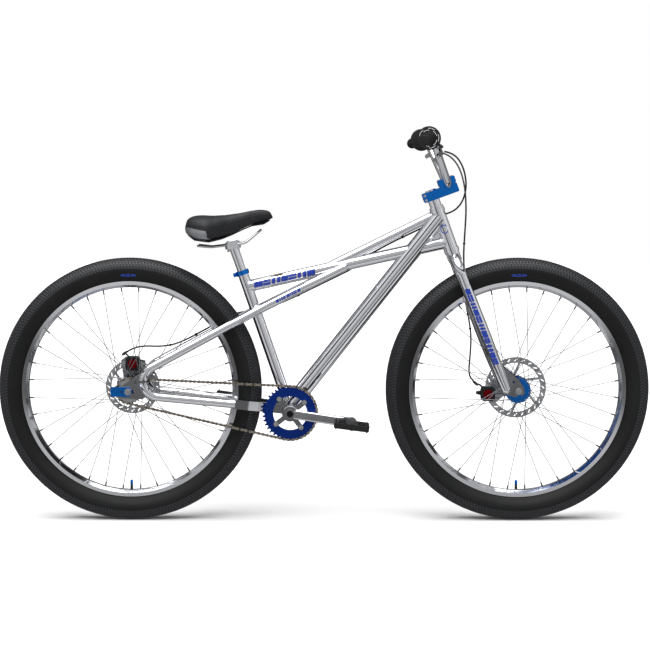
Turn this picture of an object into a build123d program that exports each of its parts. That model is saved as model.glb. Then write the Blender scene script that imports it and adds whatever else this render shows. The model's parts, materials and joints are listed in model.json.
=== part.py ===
from build123d import *
import os
from math import atan2, cos, degrees, radians, sin, sqrt, tan

os.makedirs("parts", exist_ok=True)

# A 29-inch cruiser BMX. X points to the front, Y to the left, Z up, in millimetres.
# The origin is on the ground, halfway between the two axles.

# ---- driving dimensions: layout
wheelbase = 1136.0
tire_radius = 386.0
head_angle = 70.0            # steering axis above the ground line
fork_rake = 43.0             # front axle ahead of the steering axis
chainstay_length = 475.0
bottom_bracket_drop = 65.0
seat_angle = 71.0

# ---- driving dimensions: frame tubes (radius, wall)
head_tube_radius = 20.5
down_tube_radius = 23.8
top_tube_radius = 17.4
upper_tube_radius = 12.9
seat_tube_radius = 15.9
stay_radius = 12.7
shell_radius = 20.8
shell_width = 73.0
tube_wall = 1.8
head_tube_low = 456.0        # along the steering axis, from the foot of the front axle
head_tube_high = 568.0
seat_tube_length = 438.0
top_tube_on_seat = 388.0     # along the seat tube, from the bottom bracket
top_tube_on_head = 475.5
down_tube_on_head = 552.5
upper_tube_on_head = 564.5
upper_tube_start = -3.0      # X where the upper tube leaves the top tube
stay_end = 60.0              # X where each stay ends on the side of the top tube

# ---- driving dimensions: rear end
rear_spacing = 135.0
dropout_thickness = 7.0
loop_radius = 46.0
yoke_thickness = 12.0
yoke_height = 27.0
axle_radius = 5.0
axle_end_length = 8.0        # the threaded end past each nut
groove_width, groove_depth = 1.5, 0.9     # thread runout beside the nut

# ---- driving dimensions: fork
front_spacing = 110.0
fork_plate = 6.0
leg_spread = 66.0            # leg centre from the middle plane, beside the tyre
leg_foot_spread = 62.0
leg_top_radius = 15.5
leg_belly_radius = 17.8
leg_foot_radius = 12.5
steerer_radius = 14.3
crown_height = 430.0
leg_foot_height = 18.0

# ---- driving dimensions: wheels
rim_radius = 318.0
rim_depth = 18.5
rim_half_width = 20.0
tire_half_width = 42.0
tire_wall = 2.6
spoke_count = 36
spoke_radius = 1.0
spoke_crosses = 3
hub_flange_radius = 37.6
hub_hole_radius = 33.0
front_flanges = (-33.0, 22.0)
rear_flanges = (-31.0, 30.0)
front_rotor_radius = 90.0
rear_rotor_radius = 80.0
front_rotor_side = 38.0
rear_rotor_side = 52.0
rotor_thickness = 1.9

# ---- driving dimensions: drivetrain
chain_pitch = 12.7
chain_line = 54.0
ring_teeth = 39
sprocket_teeth = 18
roller_radius = 3.9
ring_thickness = 3.0
crank_length = 180.0
crank_angle = -7.5           # right crank at rest, above the forward line
spindle_radius = 9.5
pedal_length = 101.0
pedal_width = 94.0
pedal_thickness = 16.0

# ---- driving dimensions: cockpit and saddle
stem_reach = 53.0
stem_height = 27.5
stem_low = 605.5
bar_radius = 11.1
bar_width = 730.0
bar_rise = 148.0
bar_lean = 2.0               # risers lean back from the steering axis
grip_length = 130.0
grip_radius = 16.0
grip_flange_radius = 33.5
seatpost_radius = 13.6
saddle_length = 256.0
saddle_width = 160.0

# ---- fits
running = 0.05               # radial gap of a part that turns on another
sliding = 0.05
slack = 0.4                  # gap between parts that pass each other

# ---- places that follow from the layout
rear_x, front_x = -wheelbase / 2, wheelbase / 2
shell_x = rear_x + sqrt(chainstay_length**2 - bottom_bracket_drop**2)
shell_z = tire_radius - bottom_bracket_drop
shell = Vector(shell_x, 0, shell_z)
steer_up = Vector(-cos(radians(head_angle)), 0, sin(radians(head_angle)))
steer_fore = Vector(sin(radians(head_angle)), 0, cos(radians(head_angle)))
steer_foot = Vector(front_x, 0, tire_radius) - steer_fore * fork_rake
seat_up = Vector(-cos(radians(seat_angle)), 0, sin(radians(seat_angle)))


def on_fork(fore, side, up):
    """A point given ahead of, beside and along the steering axis."""
    return steer_foot + steer_fore * fore + Vector(0, side, 0) + steer_up * up


def on_seat(along):
    """A point on the seat tube's axis, above the bottom bracket."""
    return shell + seat_up * along


def bar(start, end, radius, mode=Mode.ADD):
    """A round bar from start to end, in the part being built."""
    line = Vector(end) - Vector(start)
    with BuildSketch(Plane(origin=start, z_dir=line)) as section:
        Circle(radius)
    extrude(section.sketch, amount=line.length, mode=mode)


def tube(start, end, radius, wall=tube_wall):
    """A round tube from start to end, in the part being built."""
    bar(start, end, radius)
    bar(start, end, radius - wall, Mode.SUBTRACT)


def disc(x, z, inner, outer, radius, mode=Mode.ADD):
    """A round plate about a cross axis at (x, z), from side inner to side outer."""
    bar((x, inner, z), (x, outer, z), radius, mode)


def between(start, end, share):
    """The point that is the given share of the way from start to end."""
    return Vector(start) + (Vector(end) - Vector(start)) * share


# ---- frame tubes
seat_bottom, seat_top = shell, on_seat(seat_tube_length)
top_rear, top_front = on_seat(top_tube_on_seat), on_fork(0, 0, top_tube_on_head)
down_top = on_fork(0, 0, down_tube_on_head)
down_bottom = shell + Vector(-6, 0, 8)
top_slope = (top_front.Z - top_rear.Z) / (top_front.X - top_rear.X)
upper_start = Vector(upper_tube_start, 0, top_rear.Z + top_slope * (upper_tube_start - top_rear.X))
upper_end = on_fork(0, 0, upper_tube_on_head)
head_low, head_high = on_fork(0, 0, head_tube_low), on_fork(0, 0, head_tube_high)
half_shell = shell_width / 2

front_caliper_place = Vector(front_x - 82, front_rotor_side, tire_radius - 19)
rear_caliper_place = Vector(rear_x + 1, rear_rotor_side, tire_radius + 69)
sides = {"right": -1, "left": 1}

with BuildPart() as head_tube:
    # gusset plate behind the head tube, between the down tube and the top tube
    with BuildSketch(Plane.XZ.offset(-2)) as plate:
        with BuildLine():
            Polyline(
                (between(down_bottom, down_top, 0.82).X, between(down_bottom, down_top, 0.82).Z),
                (down_top.X, down_top.Z),
                (top_front.X, top_front.Z),
                close=True,
            )
        make_face()
    extrude(plate.sketch, amount=4)
    bar(down_bottom, between(down_bottom, down_top, 1.2), down_tube_radius, Mode.SUBTRACT)
    bar(top_rear, between(top_rear, top_front, 1.1), top_tube_radius, Mode.SUBTRACT)
    bar(head_low, head_high, head_tube_radius)
    bar(head_low, head_high, head_tube_radius - 3, Mode.SUBTRACT)
head_tube.part.label = "head_tube"
export_step(head_tube.part, "parts/head_tube.step")

with BuildPart() as down_tube:
    tube(down_bottom, down_top, down_tube_radius)
    bar(on_fork(0, 0, 400), on_fork(0, 0, 640), head_tube_radius, Mode.SUBTRACT)
    disc(shell_x, shell_z, -half_shell, half_shell, shell_radius, Mode.SUBTRACT)
    # the seat tube's foot stands on the same shell
    bar(seat_bottom, on_seat(120), seat_tube_radius, Mode.SUBTRACT)
down_tube.part.label = "down_tube"
export_step(down_tube.part, "parts/down_tube.step")

with BuildPart() as top_tube:
    tube(top_rear, top_front, top_tube_radius)
    bar(seat_bottom, seat_top, seat_tube_radius, Mode.SUBTRACT)
    bar(down_bottom, down_top, down_tube_radius, Mode.SUBTRACT)
    bar(head_low, head_high, head_tube_radius, Mode.SUBTRACT)
top_tube.part.label = "top_tube"
export_step(top_tube.part, "parts/top_tube.step")

with BuildPart() as upper_tube:
    tube(upper_start, upper_end, upper_tube_radius)
    bar(top_rear, top_front, top_tube_radius, Mode.SUBTRACT)
    bar(down_bottom, between(down_bottom, down_top, 1.2), down_tube_radius, Mode.SUBTRACT)
    bar(head_low, on_fork(0, 0, head_tube_high + 30), head_tube_radius + 2, Mode.SUBTRACT)
upper_tube.part.label = "upper_tube"
export_step(upper_tube.part, "parts/upper_tube.step")

with BuildPart() as seat_tube:
    bar(seat_bottom, seat_top, seat_tube_radius)
    bar(seat_bottom, seat_top, seatpost_radius + sliding, Mode.SUBTRACT)
    disc(shell_x, shell_z, -half_shell, half_shell, shell_radius, Mode.SUBTRACT)
seat_tube.part.label = "seat_tube"
export_step(seat_tube.part, "parts/seat_tube.step")

with BuildPart() as bottom_bracket_shell:
    disc(shell_x, shell_z, -half_shell, half_shell, shell_radius)
    disc(shell_x, shell_z, -half_shell, half_shell, shell_radius - 3.3, Mode.SUBTRACT)
bottom_bracket_shell.part.label = "bottom_bracket_shell"
export_step(bottom_bracket_shell.part, "parts/bottom_bracket_shell.step")

# ---- rear stays: one tube a side, from the top tube back, round the loop and forward again
loop_corner = Vector(rear_x - 62, 0, tire_radius)
stay_pass = on_seat(314)                       # where the stays pass the seat tube
stay_cross = Vector(stay_end, 0, 744.6)
yoke_start = Vector(shell_x - 161, 0, shell_z + 27)


def stay_route(side):
    """The corners of one stay's centre line."""
    beside_seat = seat_tube_radius + stay_radius
    return [
        stay_cross + Vector(0, side * 22, 0),
        stay_cross + Vector(-102, side * 30, -49.7),
        stay_pass + Vector(4, side * (beside_seat - 0.6), 0),
        stay_pass + Vector(-58, side * 60, -31),
        loop_corner + Vector(0, side * 84, 0),
        yoke_start + Vector(0, side * 57, 0),
    ]


for name, side in sides.items():
    points = stay_route(side)
    with BuildPart() as stay:
        with BuildLine() as centre_line:
            FilletPolyline(*points, radius=[260, 160, 160, loop_radius])
        path = centre_line.wires()[0]
        with BuildSketch(Plane(origin=points[0], z_dir=points[1] - points[0])) as section:
            Circle(stay_radius)
        sweep(section.sketch, path=path)
        with BuildSketch(Plane(origin=points[0], z_dir=points[1] - points[0])) as bore:
            Circle(stay_radius - tube_wall)
        sweep(bore.sketch, path=path, mode=Mode.SUBTRACT)
        # domed end on the side of the top tube
        with Locations(points[0]):
            Sphere(stay_radius)
        bar(top_rear, top_front, top_tube_radius, Mode.SUBTRACT)
        bar(seat_bottom, seat_top, seat_tube_radius, Mode.SUBTRACT)
    stay.part.label = f"stay_{name}"
    export_step(stay.part, f"parts/stay_{name}.step")

# ---- flat yokes between the chainstay tubes and the shell, curved round the tyre
yoke_slope = degrees(atan2(yoke_start.Z - shell_z - 6, shell_x - yoke_start.X))
yoke_floor = Plane(origin=yoke_start, x_dir=Vector(1, 0, -tan(radians(yoke_slope))),
    z_dir=Vector(tan(radians(yoke_slope)), 0, 1))
with BuildPart() as chainstay_yokes:
    with BuildSketch(yoke_floor.offset(-yoke_height / 2)) as curves:
        for side in sides.values():
            with BuildLine():
                FilletPolyline(
                    (-6, side * 57), (38, side * 53.5), (66, side * 43), (108, side * 30), (166, side * 28),
                    radius=18,
                )
            trace(line_width=yoke_thickness)
    extrude(curves.sketch, amount=yoke_height)
    for side in sides.values():
        route = stay_route(side)
        bar(between(route[5], route[4], 0.4), route[5], stay_radius, Mode.SUBTRACT)
    disc(shell_x, shell_z, -60, 60, shell_radius, Mode.SUBTRACT)
chainstay_yokes.part.label = "chainstay_yokes"
export_step(chainstay_yokes.part, "parts/chainstay_yokes.step")

# ---- dropouts inside the loops, with slots open to the rear
dropout_inner = rear_spacing / 2
dropout_outer = dropout_inner + dropout_thickness
slot_half = axle_radius + sliding
with BuildPart() as dropouts:
    for side in sides.values():
        with BuildSketch(Plane.XZ.offset(-side * dropout_outer)) as plate:
            with BuildLine():
                Polyline(
                    (-516, 445), (-540, 436), (rear_x - 17, 402), (rear_x - 36, 398), (rear_x - 36, 374),
                    (rear_x - 16, 366), (-524, 364), (-513, 378), (-529, 413), close=True,
                )
            make_face()
            fillet(plate.vertices(), radius=4)
            with Locations((-546, 412)):
                Circle(4.5, mode=Mode.SUBTRACT)
            with Locations((rear_x, tire_radius)):
                SlotCenterToCenter(30, 2 * slot_half, mode=Mode.SUBTRACT)
            with Locations((rear_x - 40, tire_radius)):
                Rectangle(80, 2 * slot_half, mode=Mode.SUBTRACT)
            if side > 0:
                # ears that carry the rear brake
                with BuildLine():
                    Polyline(
                        (-604, 462), (-590, 474), (-532, 462), (-530, 430), (-548, 424), (-580, 400),
                        (-596, 400), close=True,
                    )
                make_face()
                with Locations((rear_caliper_place.X, rear_caliper_place.Z)):
                    Circle(13, mode=Mode.SUBTRACT)
        extrude(plate.sketch, amount=side * dropout_thickness)
        route = stay_route(side)
        with BuildLine() as centre_line:
            FilletPolyline(*route[3:], radius=[loop_radius])
        with BuildSketch(Plane(origin=route[3], z_dir=route[4] - route[3])) as section:
            Circle(stay_radius)
        sweep(section.sketch, path=centre_line.wires()[0], mode=Mode.SUBTRACT)
dropouts.part.label = "dropouts"
export_step(dropouts.part, "parts/dropouts.step")

# ---- chain tensioners outside the dropouts
tensioner_outer = dropout_outer + 5
with BuildPart() as chain_tensioners:
    for side in sides.values():
        with BuildSketch(Plane.XZ.offset(-side * tensioner_outer)) as block:
            with BuildLine():
                Polyline(
                    (rear_x - 50, 400), (rear_x + 4, 400), (rear_x + 14, 386), (rear_x + 4, 372),
                    (rear_x - 50, 372), close=True,
                )
            make_face()
            fillet(block.vertices(), radius=3)
            with Locations((rear_x, tire_radius)):
                Circle(axle_radius + sliding, mode=Mode.SUBTRACT)
            with Locations((rear_x - 20, tire_radius)):
                Circle(3, mode=Mode.SUBTRACT)
        extrude(block.sketch, amount=side * 5)
        # the adjusting screw runs back from a folded end that bears on the dropout
        disc(rear_x - 45, tire_radius, side * dropout_inner, side * dropout_outer, 4.5)
chain_tensioners.part.label = "chain_tensioners"
export_step(chain_tensioners.part, "parts/chain_tensioners.step")


def hexagon_nut(x, z, inner, outer, bore):
    """An axle nut about a cross axis, from side inner to side outer."""
    with BuildSketch(Plane(origin=(x, inner, z), z_dir=(0, outer - inner, 0))) as section:
        RegularPolygon(8.6, 6)
        Circle(bore, mode=Mode.SUBTRACT)
    extrude(section.sketch, amount=abs(outer - inner))


bearing_radius = 11.0
rear_nut = tensioner_outer + 12
front_plate_outer = front_spacing / 2 + fork_plate
front_nut = front_plate_outer + 11
for name, x, face, nut, spacing in (
    ("front_axle", front_x, front_plate_outer, front_nut, front_spacing),
    ("rear_axle", rear_x, tensioner_outer, rear_nut, rear_spacing),
):
    with BuildPart() as axle:
        disc(x, tire_radius, -nut, nut, axle_radius)
        for side in sides.values():
            groove = side * (nut + groove_width)
            disc(x, tire_radius, side * nut, groove, axle_radius - groove_depth)
            disc(x, tire_radius, groove, side * (nut + axle_end_length), axle_radius)
    with BuildPart() as axle_nuts:
        for side in sides.values():
            hexagon_nut(x, tire_radius, side * (face + 2), side * nut, axle_radius)
            disc(x, tire_radius, side * face, side * (face + 2), 10)
            disc(x, tire_radius, side * face, side * nut, axle_radius, Mode.SUBTRACT)
            disc(x, tire_radius, side * (spacing / 2 - 9), side * spacing / 2, 9)
            disc(x, tire_radius, side * (spacing / 2 - 9), side * spacing / 2, axle_radius, Mode.SUBTRACT)
    group = Compound(children=[*axle.part.solids(), *axle_nuts.part.solids()])
    group.label = name
    export_step(group, f"parts/{name}.step")

# ---- headset: cups pressed in the head tube, bearings, and what turns with the fork
cup_height = 10.0
with BuildPart() as headset_cups:
    for end, away in ((head_tube_low, -1), (head_tube_high, 1)):
        bar(on_fork(0, 0, end), on_fork(0, 0, end + away * cup_height), head_tube_radius + 2)
        bar(on_fork(0, 0, end), on_fork(0, 0, end - away * 8), head_tube_radius - 3)
        bar(
            on_fork(0, 0, end - away * 9), on_fork(0, 0, end + away * (cup_height + 1)),
            steerer_radius + running, Mode.SUBTRACT,
        )
headset_cups.part.label = "headset_cups"
export_step(headset_cups.part, "parts/headset_cups.step")

with BuildPart() as bottom_bracket_bearings:
    for side in sides.values():
        disc(shell_x, shell_z, side * (half_shell - 12), side * half_shell, shell_radius - 3.3)
        disc(shell_x, shell_z, side * half_shell, side * (half_shell + 6), shell_radius)
        disc(shell_x, shell_z, side * (half_shell - 12), side * (half_shell + 6),
            spindle_radius + running, Mode.SUBTRACT)
bottom_bracket_bearings.part.label = "bottom_bracket_bearings"
export_step(bottom_bracket_bearings.part, "parts/bottom_bracket_bearings.step")

with BuildPart() as fork_steerer:
    bar(on_fork(0, 0, crown_height - 14), on_fork(0, 0, stem_low + stem_height), steerer_radius)
    bar(on_fork(0, 0, crown_height - 14), on_fork(0, 0, crown_height + 12), 20)
    crown_race = head_tube_low - cup_height - slack
    bar(on_fork(0, 0, crown_height + 12), on_fork(0, 0, crown_race), 21.5)
    bar(on_fork(0, 0, crown_height - 15), on_fork(0, 0, stem_low + stem_height + 1), steerer_radius - 3,
        Mode.SUBTRACT)
with BuildPart() as spacers:
    cover = head_tube_high + cup_height + slack
    bar(on_fork(0, 0, cover), on_fork(0, 0, cover + 7), 21)
    bar(on_fork(0, 0, cover + 7), on_fork(0, 0, stem_low), 17.5)
    bar(on_fork(0, 0, cover), on_fork(0, 0, stem_low), steerer_radius, Mode.SUBTRACT)
    bar(on_fork(0, 0, stem_low + stem_height), on_fork(0, 0, stem_low + stem_height + 3.5), 16)
steerer_group = Compound(children=[*fork_steerer.part.solids(), *spacers.part.solids()])
steerer_group.label = "fork_steerer"
export_step(steerer_group, "parts/fork_steerer.step")

# ---- fork legs: a bend out of the crown, then a belly and a taper to the foot
for name, side in sides.items():
    bend_end = on_fork(0.6, side * leg_spread, 345)
    foot = on_fork(9.4, side * leg_foot_spread, leg_foot_height)
    with BuildPart() as fork_leg:
        with BuildLine() as bend:
            FilletPolyline(
                on_fork(-1, side * 8, crown_height), on_fork(0, side * leg_spread,
                    crown_height - 14), bend_end,
                radius=44,
            )
        with BuildSketch(Plane(origin=bend_end,
            z_dir=on_fork(0, side * leg_spread, 416) - bend_end)) as section:
            Circle(leg_top_radius)
        sweep(section.sketch, path=bend.wires()[0])
        bar(on_fork(0, 0, crown_height - 30), on_fork(0, 0, crown_height + 12), 20, Mode.SUBTRACT)
        bar(on_fork(0, 0, crown_height + 12), on_fork(0, 0, crown_height + 30), 21.5, Mode.SUBTRACT)
        leg_line = foot - bend_end
        stations = ((0, leg_top_radius), (0.6, leg_belly_radius), (0.85, leg_belly_radius - 2.4),
            (1, leg_foot_radius))
        for share, radius in stations:
            with BuildSketch(Plane(origin=between(bend_end, foot, share), z_dir=leg_line)):
                Circle(radius)
        loft()
        with Locations(foot):
            Sphere(leg_foot_radius)
        with BuildSketch(Plane.XZ.offset(-side * front_plate_outer)) as plate:
            with BuildLine():
                Polyline(
                    (front_x - 62, 462), (front_x - 44, 456), (front_x - 4, 424), (front_x + 15, 398),
                    (front_x + 17, 380), (front_x + 8, 370), (front_x - 16, 370), (front_x - 36, 376),
                    close=True,
                )
            make_face()
            fillet(plate.vertices(), radius=5)
            with Locations((front_x, tire_radius)):
                Circle(slot_half, mode=Mode.SUBTRACT)
            with Locations((front_x + 2, tire_radius - 15)):
                Rectangle(2 * slot_half, 30, mode=Mode.SUBTRACT)
            with Locations((front_x - 15, 413.5)):
                Circle(3.3, mode=Mode.SUBTRACT)
            if side > 0:
                # ears that carry the front brake
                with BuildLine():
                    Polyline(
                        (front_x - 44, 436), (front_x - 78, 392), (front_x - 78, 342), (front_x - 60, 336),
                        (front_x - 24, 366), close=True,
                    )
                make_face()
                with Locations((front_caliper_place.X, front_caliper_place.Z)):
                    Circle(13, mode=Mode.SUBTRACT)
        extrude(plate.sketch, amount=side * fork_plate)
        disc(front_x, tire_radius, side * front_plate_outer, side * 90, 13, Mode.SUBTRACT)
        disc(front_x, tire_radius, side * 30, side * front_spacing / 2, 15, Mode.SUBTRACT)
    fork_leg.part.label = f"fork_leg_{name}"
    export_step(fork_leg.part, f"parts/fork_leg_{name}.step")


# ---- wheels: profiles are drawn as (side, radius) and turned about the axle
def wheel_plane(x):
    return Plane(origin=(x, 0, tire_radius), x_dir=(0, 1, 0), z_dir=(1, 0, 0))


def spin(section, x, mode=Mode.ADD):
    """Turn a wheel profile about its axle, in the part being built."""
    revolve(section.sketch, axis=Axis((x, 0, tire_radius), (0, 1, 0)), mode=mode)


def tire_half(wall):
    """Half of the tire's outline, drawn wall inside its outer skin."""
    width, top, seat = tire_half_width - wall, tire_radius - wall, rim_radius + 1.5 + wall * 0.4
    shoulder = (width * 0.9, rim_radius + 50 - wall * 0.4)
    ThreePointArc((rim_half_width - wall, seat), (width, rim_radius + 28), shoulder)
    ThreePointArc(shoulder, (width * 0.6, top - 6), (0, top))


rim_inner = rim_radius - rim_depth
valve_radius = 4.0
for end, x in (("front", front_x), ("rear", rear_x)):
    with BuildPart() as tire:
        with BuildSketch(wheel_plane(x)) as skin:
            with BuildLine():
                tire_half(0)
                Polyline((rim_half_width, rim_radius + 1.5), (rim_half_width - 3, rim_radius),
                    (rim_half_width - 3, rim_radius - 6.5), (rim_half_width - 8,
                    rim_radius - 6.5), (rim_half_width - 8, rim_radius), (0, rim_radius))
                Line((0, rim_radius), (0, tire_radius))
            make_face()
            with BuildLine():
                tire_half(tire_wall)
                Polyline((rim_half_width - tire_wall, rim_radius + 1.5 + tire_wall * 0.4),
                    (rim_half_width - 8, rim_radius), (rim_half_width - 8, rim_radius - 6.5), (0,
                    rim_radius - 6.5), (0, tire_radius - tire_wall))
            make_face(mode=Mode.SUBTRACT)
            mirror(about=Plane.YZ)
        spin(skin, x)
    tire.part.label = f"{end}_tire"
    export_step(tire.part, f"parts/{end}_tire.step")

    with BuildPart() as inner_tube:
        for radius, mode in ((30, Mode.ADD), (29, Mode.SUBTRACT)):
            with BuildSketch(wheel_plane(x)) as ring:
                with Locations((0, rim_radius + 32.5)):
                    Circle(radius)
            spin(ring, x, mode)
        stem_foot = tire_radius - rim_radius - 3
        bar((x, 0, stem_foot), (x, 0, tire_radius - rim_inner + 15), valve_radius)
    inner_tube.part.label = f"{end}_inner_tube"
    export_step(inner_tube.part, f"parts/{end}_inner_tube.step")

    with BuildPart() as rim:
        with BuildSketch(wheel_plane(x)) as section:
            with BuildLine():
                Polyline(
                    (0, rim_inner), (8, rim_inner), (rim_half_width - 1,
                        rim_inner + 8), (rim_half_width, rim_radius),
                    (rim_half_width - 2.6, rim_radius), (rim_half_width - 2.6, rim_radius - 7),
                    (rim_half_width - 9, rim_radius - 7), (0, rim_radius - 10), (0, rim_inner),
                )
            make_face()
            with BuildLine():
                Polyline(
                    (0, rim_inner + 1.6), (7.6, rim_inner + 1.6), (rim_half_width - 3.4, rim_inner + 8.4),
                    (rim_half_width - 9.6, rim_radius - 8.6), (0, rim_radius - 11.6), close=True,
                )
            make_face(mode=Mode.SUBTRACT)
            mirror(about=Plane.YZ)
        spin(section, x)
        bar((x, 0, 60), (x, 0, tire_radius - rim_inner + 20), valve_radius + 0.3, Mode.SUBTRACT)
    rim.part.label = f"{end}_rim"
    export_step(rim.part, f"parts/{end}_rim.step")

    # hub shell with two large flanges, a brake seat on the left and a thread for the sprocket
    flanges = front_flanges if end == "front" else rear_flanges
    rotor_side = front_rotor_side if end == "front" else rear_rotor_side
    hub_outer = (front_spacing if end == "front" else rear_spacing) / 2 - 9 - slack
    with BuildPart() as hub:
        disc(x, tire_radius, flanges[0], flanges[1], 17)
        for flange in flanges:
            disc(x, tire_radius, flange - 1.6, flange + 1.6, hub_flange_radius)
        disc(x, tire_radius, flanges[1], rotor_side - rotor_thickness / 2, 21)
        disc(x, tire_radius, -hub_outer, hub_outer, 14.5)
        disc(x, tire_radius, -hub_outer, hub_outer, bearing_radius, Mode.SUBTRACT)
        for flange in flanges:
            for k in range(spoke_count // 2):
                angle = radians(20 * k + (5 if flange < 0 else 15))
                disc(
                    x + hub_hole_radius * cos(angle), tire_radius + hub_hole_radius * sin(angle),
                    flange - 3, flange + 3, spoke_radius + 0.1, Mode.SUBTRACT,
                )
    with BuildPart() as hub_bearings:
        for side in sides.values():
            disc(x, tire_radius, side * (hub_outer - 9), side * (hub_outer - 1), bearing_radius)
        disc(x, tire_radius, -hub_outer, hub_outer, axle_radius + running, Mode.SUBTRACT)
    group = Compound(children=[*hub.part.solids(), *hub_bearings.part.solids()])
    group.label = f"{end}_hub"
    export_step(group, f"parts/{end}_hub.step")

    # laced spokes: heads outside and inside each flange by turns, three crosses, nipples at the rim
    spokes = []
    for k in range(spoke_count):
        hole = radians(360 / spoke_count * k + 5)
        side, turn = k % 2, 1 if (k // 2) % 2 else -1
        root = hole + turn * radians(spoke_crosses * 20)
        flange = flanges[side]
        lift = turn * 3.6
        start = Vector(x + hub_hole_radius * cos(root), flange + lift,
            tire_radius + hub_hole_radius * sin(root))
        stop = Vector(x + rim_inner * cos(hole), flange * 0.08, tire_radius + rim_inner * sin(hole))
        with BuildPart() as spoke:
            bar(start, stop, spoke_radius)
            disc(start.X, start.Z, flange + lift, flange - turn * 2.6, spoke_radius)
            disc(start.X, start.Z, flange - turn * 1.6, flange - turn * 2.9, 1.9)
            with Locations(start):
                Sphere(spoke_radius)
            bar(between(start, stop, 0.957), between(start, stop, 0.999), 2.1)
        spokes.append(spoke.part.solid())
    group = Compound(children=spokes)
    group.label = f"{end}_spokes"
    export_step(group, f"parts/{end}_spokes.step")

    # brake rotor: a ring with long slots on five arms, bolted to the hub
    rotor_radius = front_rotor_radius if end == "front" else rear_rotor_radius
    with BuildPart() as rotor:
        with BuildSketch(Plane(origin=(x, rotor_side - rotor_thickness / 2, tire_radius),
            z_dir=(0, 1, 0))) as face:
            Circle(rotor_radius)
            Circle(rotor_radius - 17, mode=Mode.SUBTRACT)
            Circle(26)
            with PolarLocations((rotor_radius + 6) / 2, 6):
                SlotOverall(rotor_radius - 30, 7, rotation=24)
            Circle(17, mode=Mode.SUBTRACT)
            with PolarLocations(rotor_radius - 8.5, 24):
                SlotOverall(12, 3.2, rotation=50, mode=Mode.SUBTRACT)
            with PolarLocations(22, 6, start_angle=30):
                Circle(2.6, mode=Mode.SUBTRACT)
        extrude(face.sketch, amount=rotor_thickness)
    with BuildPart() as rotor_bolts:
        for k in range(6):
            angle = radians(60 * k + 30)
            disc(
                x + 22 * cos(angle), tire_radius + 22 * sin(angle),
                rotor_side + rotor_thickness / 2, rotor_side + rotor_thickness / 2 + 2.4, 4.2,
            )
    group = Compound(children=[*rotor.part.solids(), *rotor_bolts.part.solids()])
    group.label = f"{end}_rotor"
    export_step(group, f"parts/{end}_rotor.step")


# ---- drivetrain
def pitch_radius(teeth):
    return chain_pitch / 2 / sin(radians(180 / teeth))


def toothed(teeth, x, z, inner_radius, thickness):
    """A toothed plate in the chain line, its gullets cut by the chain's rollers."""
    pitch = pitch_radius(teeth)
    with BuildSketch(Plane(origin=(x, -chain_line - thickness / 2, z), z_dir=(0, 1, 0))) as face:
        Circle(pitch + 2.4)
        with PolarLocations(pitch, teeth):
            Circle(roller_radius + 0.1, mode=Mode.SUBTRACT)
        Circle(inner_radius, mode=Mode.SUBTRACT)
    extrude(face.sketch, amount=thickness)


ring_pitch, sprocket_pitch = pitch_radius(ring_teeth), pitch_radius(sprocket_teeth)
with BuildPart() as sprocket:
    toothed(sprocket_teeth, rear_x, tire_radius, 14.5 + running, ring_thickness)
    disc(rear_x, tire_radius, -chain_line - 3, -chain_line + 8, 26)
    disc(rear_x, tire_radius, -60, -40, 14.5 + running, Mode.SUBTRACT)
sprocket.part.label = "sprocket"
export_step(sprocket.part, "parts/sprocket.step")

with BuildPart() as chainring:
    toothed(ring_teeth, shell_x, shell_z, 49.5, ring_thickness)
    for k in range(4):
        angle = radians(crank_angle + 45 + 90 * k)
        lug = (shell_x + 52 * cos(angle), shell_z + 52 * sin(angle))
        disc(*lug, -chain_line - 1.5, -chain_line + 1.5, 8)
    for k in range(4):
        angle = radians(crank_angle + 45 + 90 * k)
        lug = (shell_x + 52 * cos(angle), shell_z + 52 * sin(angle))
        disc(*lug, -chain_line - 5, -chain_line + 5, 4, Mode.SUBTRACT)
chainring.part.label = "chainring"
export_step(chainring.part, "parts/chainring.step")

ring_outer = -chain_line - ring_thickness / 2
with BuildPart() as chainring_bolts:
    for k in range(4):
        angle = radians(crank_angle + 45 + 90 * k)
        lug = (shell_x + 52 * cos(angle), shell_z + 52 * sin(angle))
        disc(*lug, ring_outer - 6, ring_outer + ring_thickness, 4)
        disc(*lug, ring_outer - 7.5, ring_outer - 5, 6)
chainring_bolts.part.label = "chainring_bolts"
export_step(chainring_bolts.part, "parts/chainring_bolts.step")

spindle_end = 66.0
with BuildPart() as crank_spindle:
    disc(shell_x, shell_z, -spindle_end, spindle_end, spindle_radius)
crank_spindle.part.label = "crank_spindle"
export_step(crank_spindle.part, "parts/crank_spindle.step")

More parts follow.
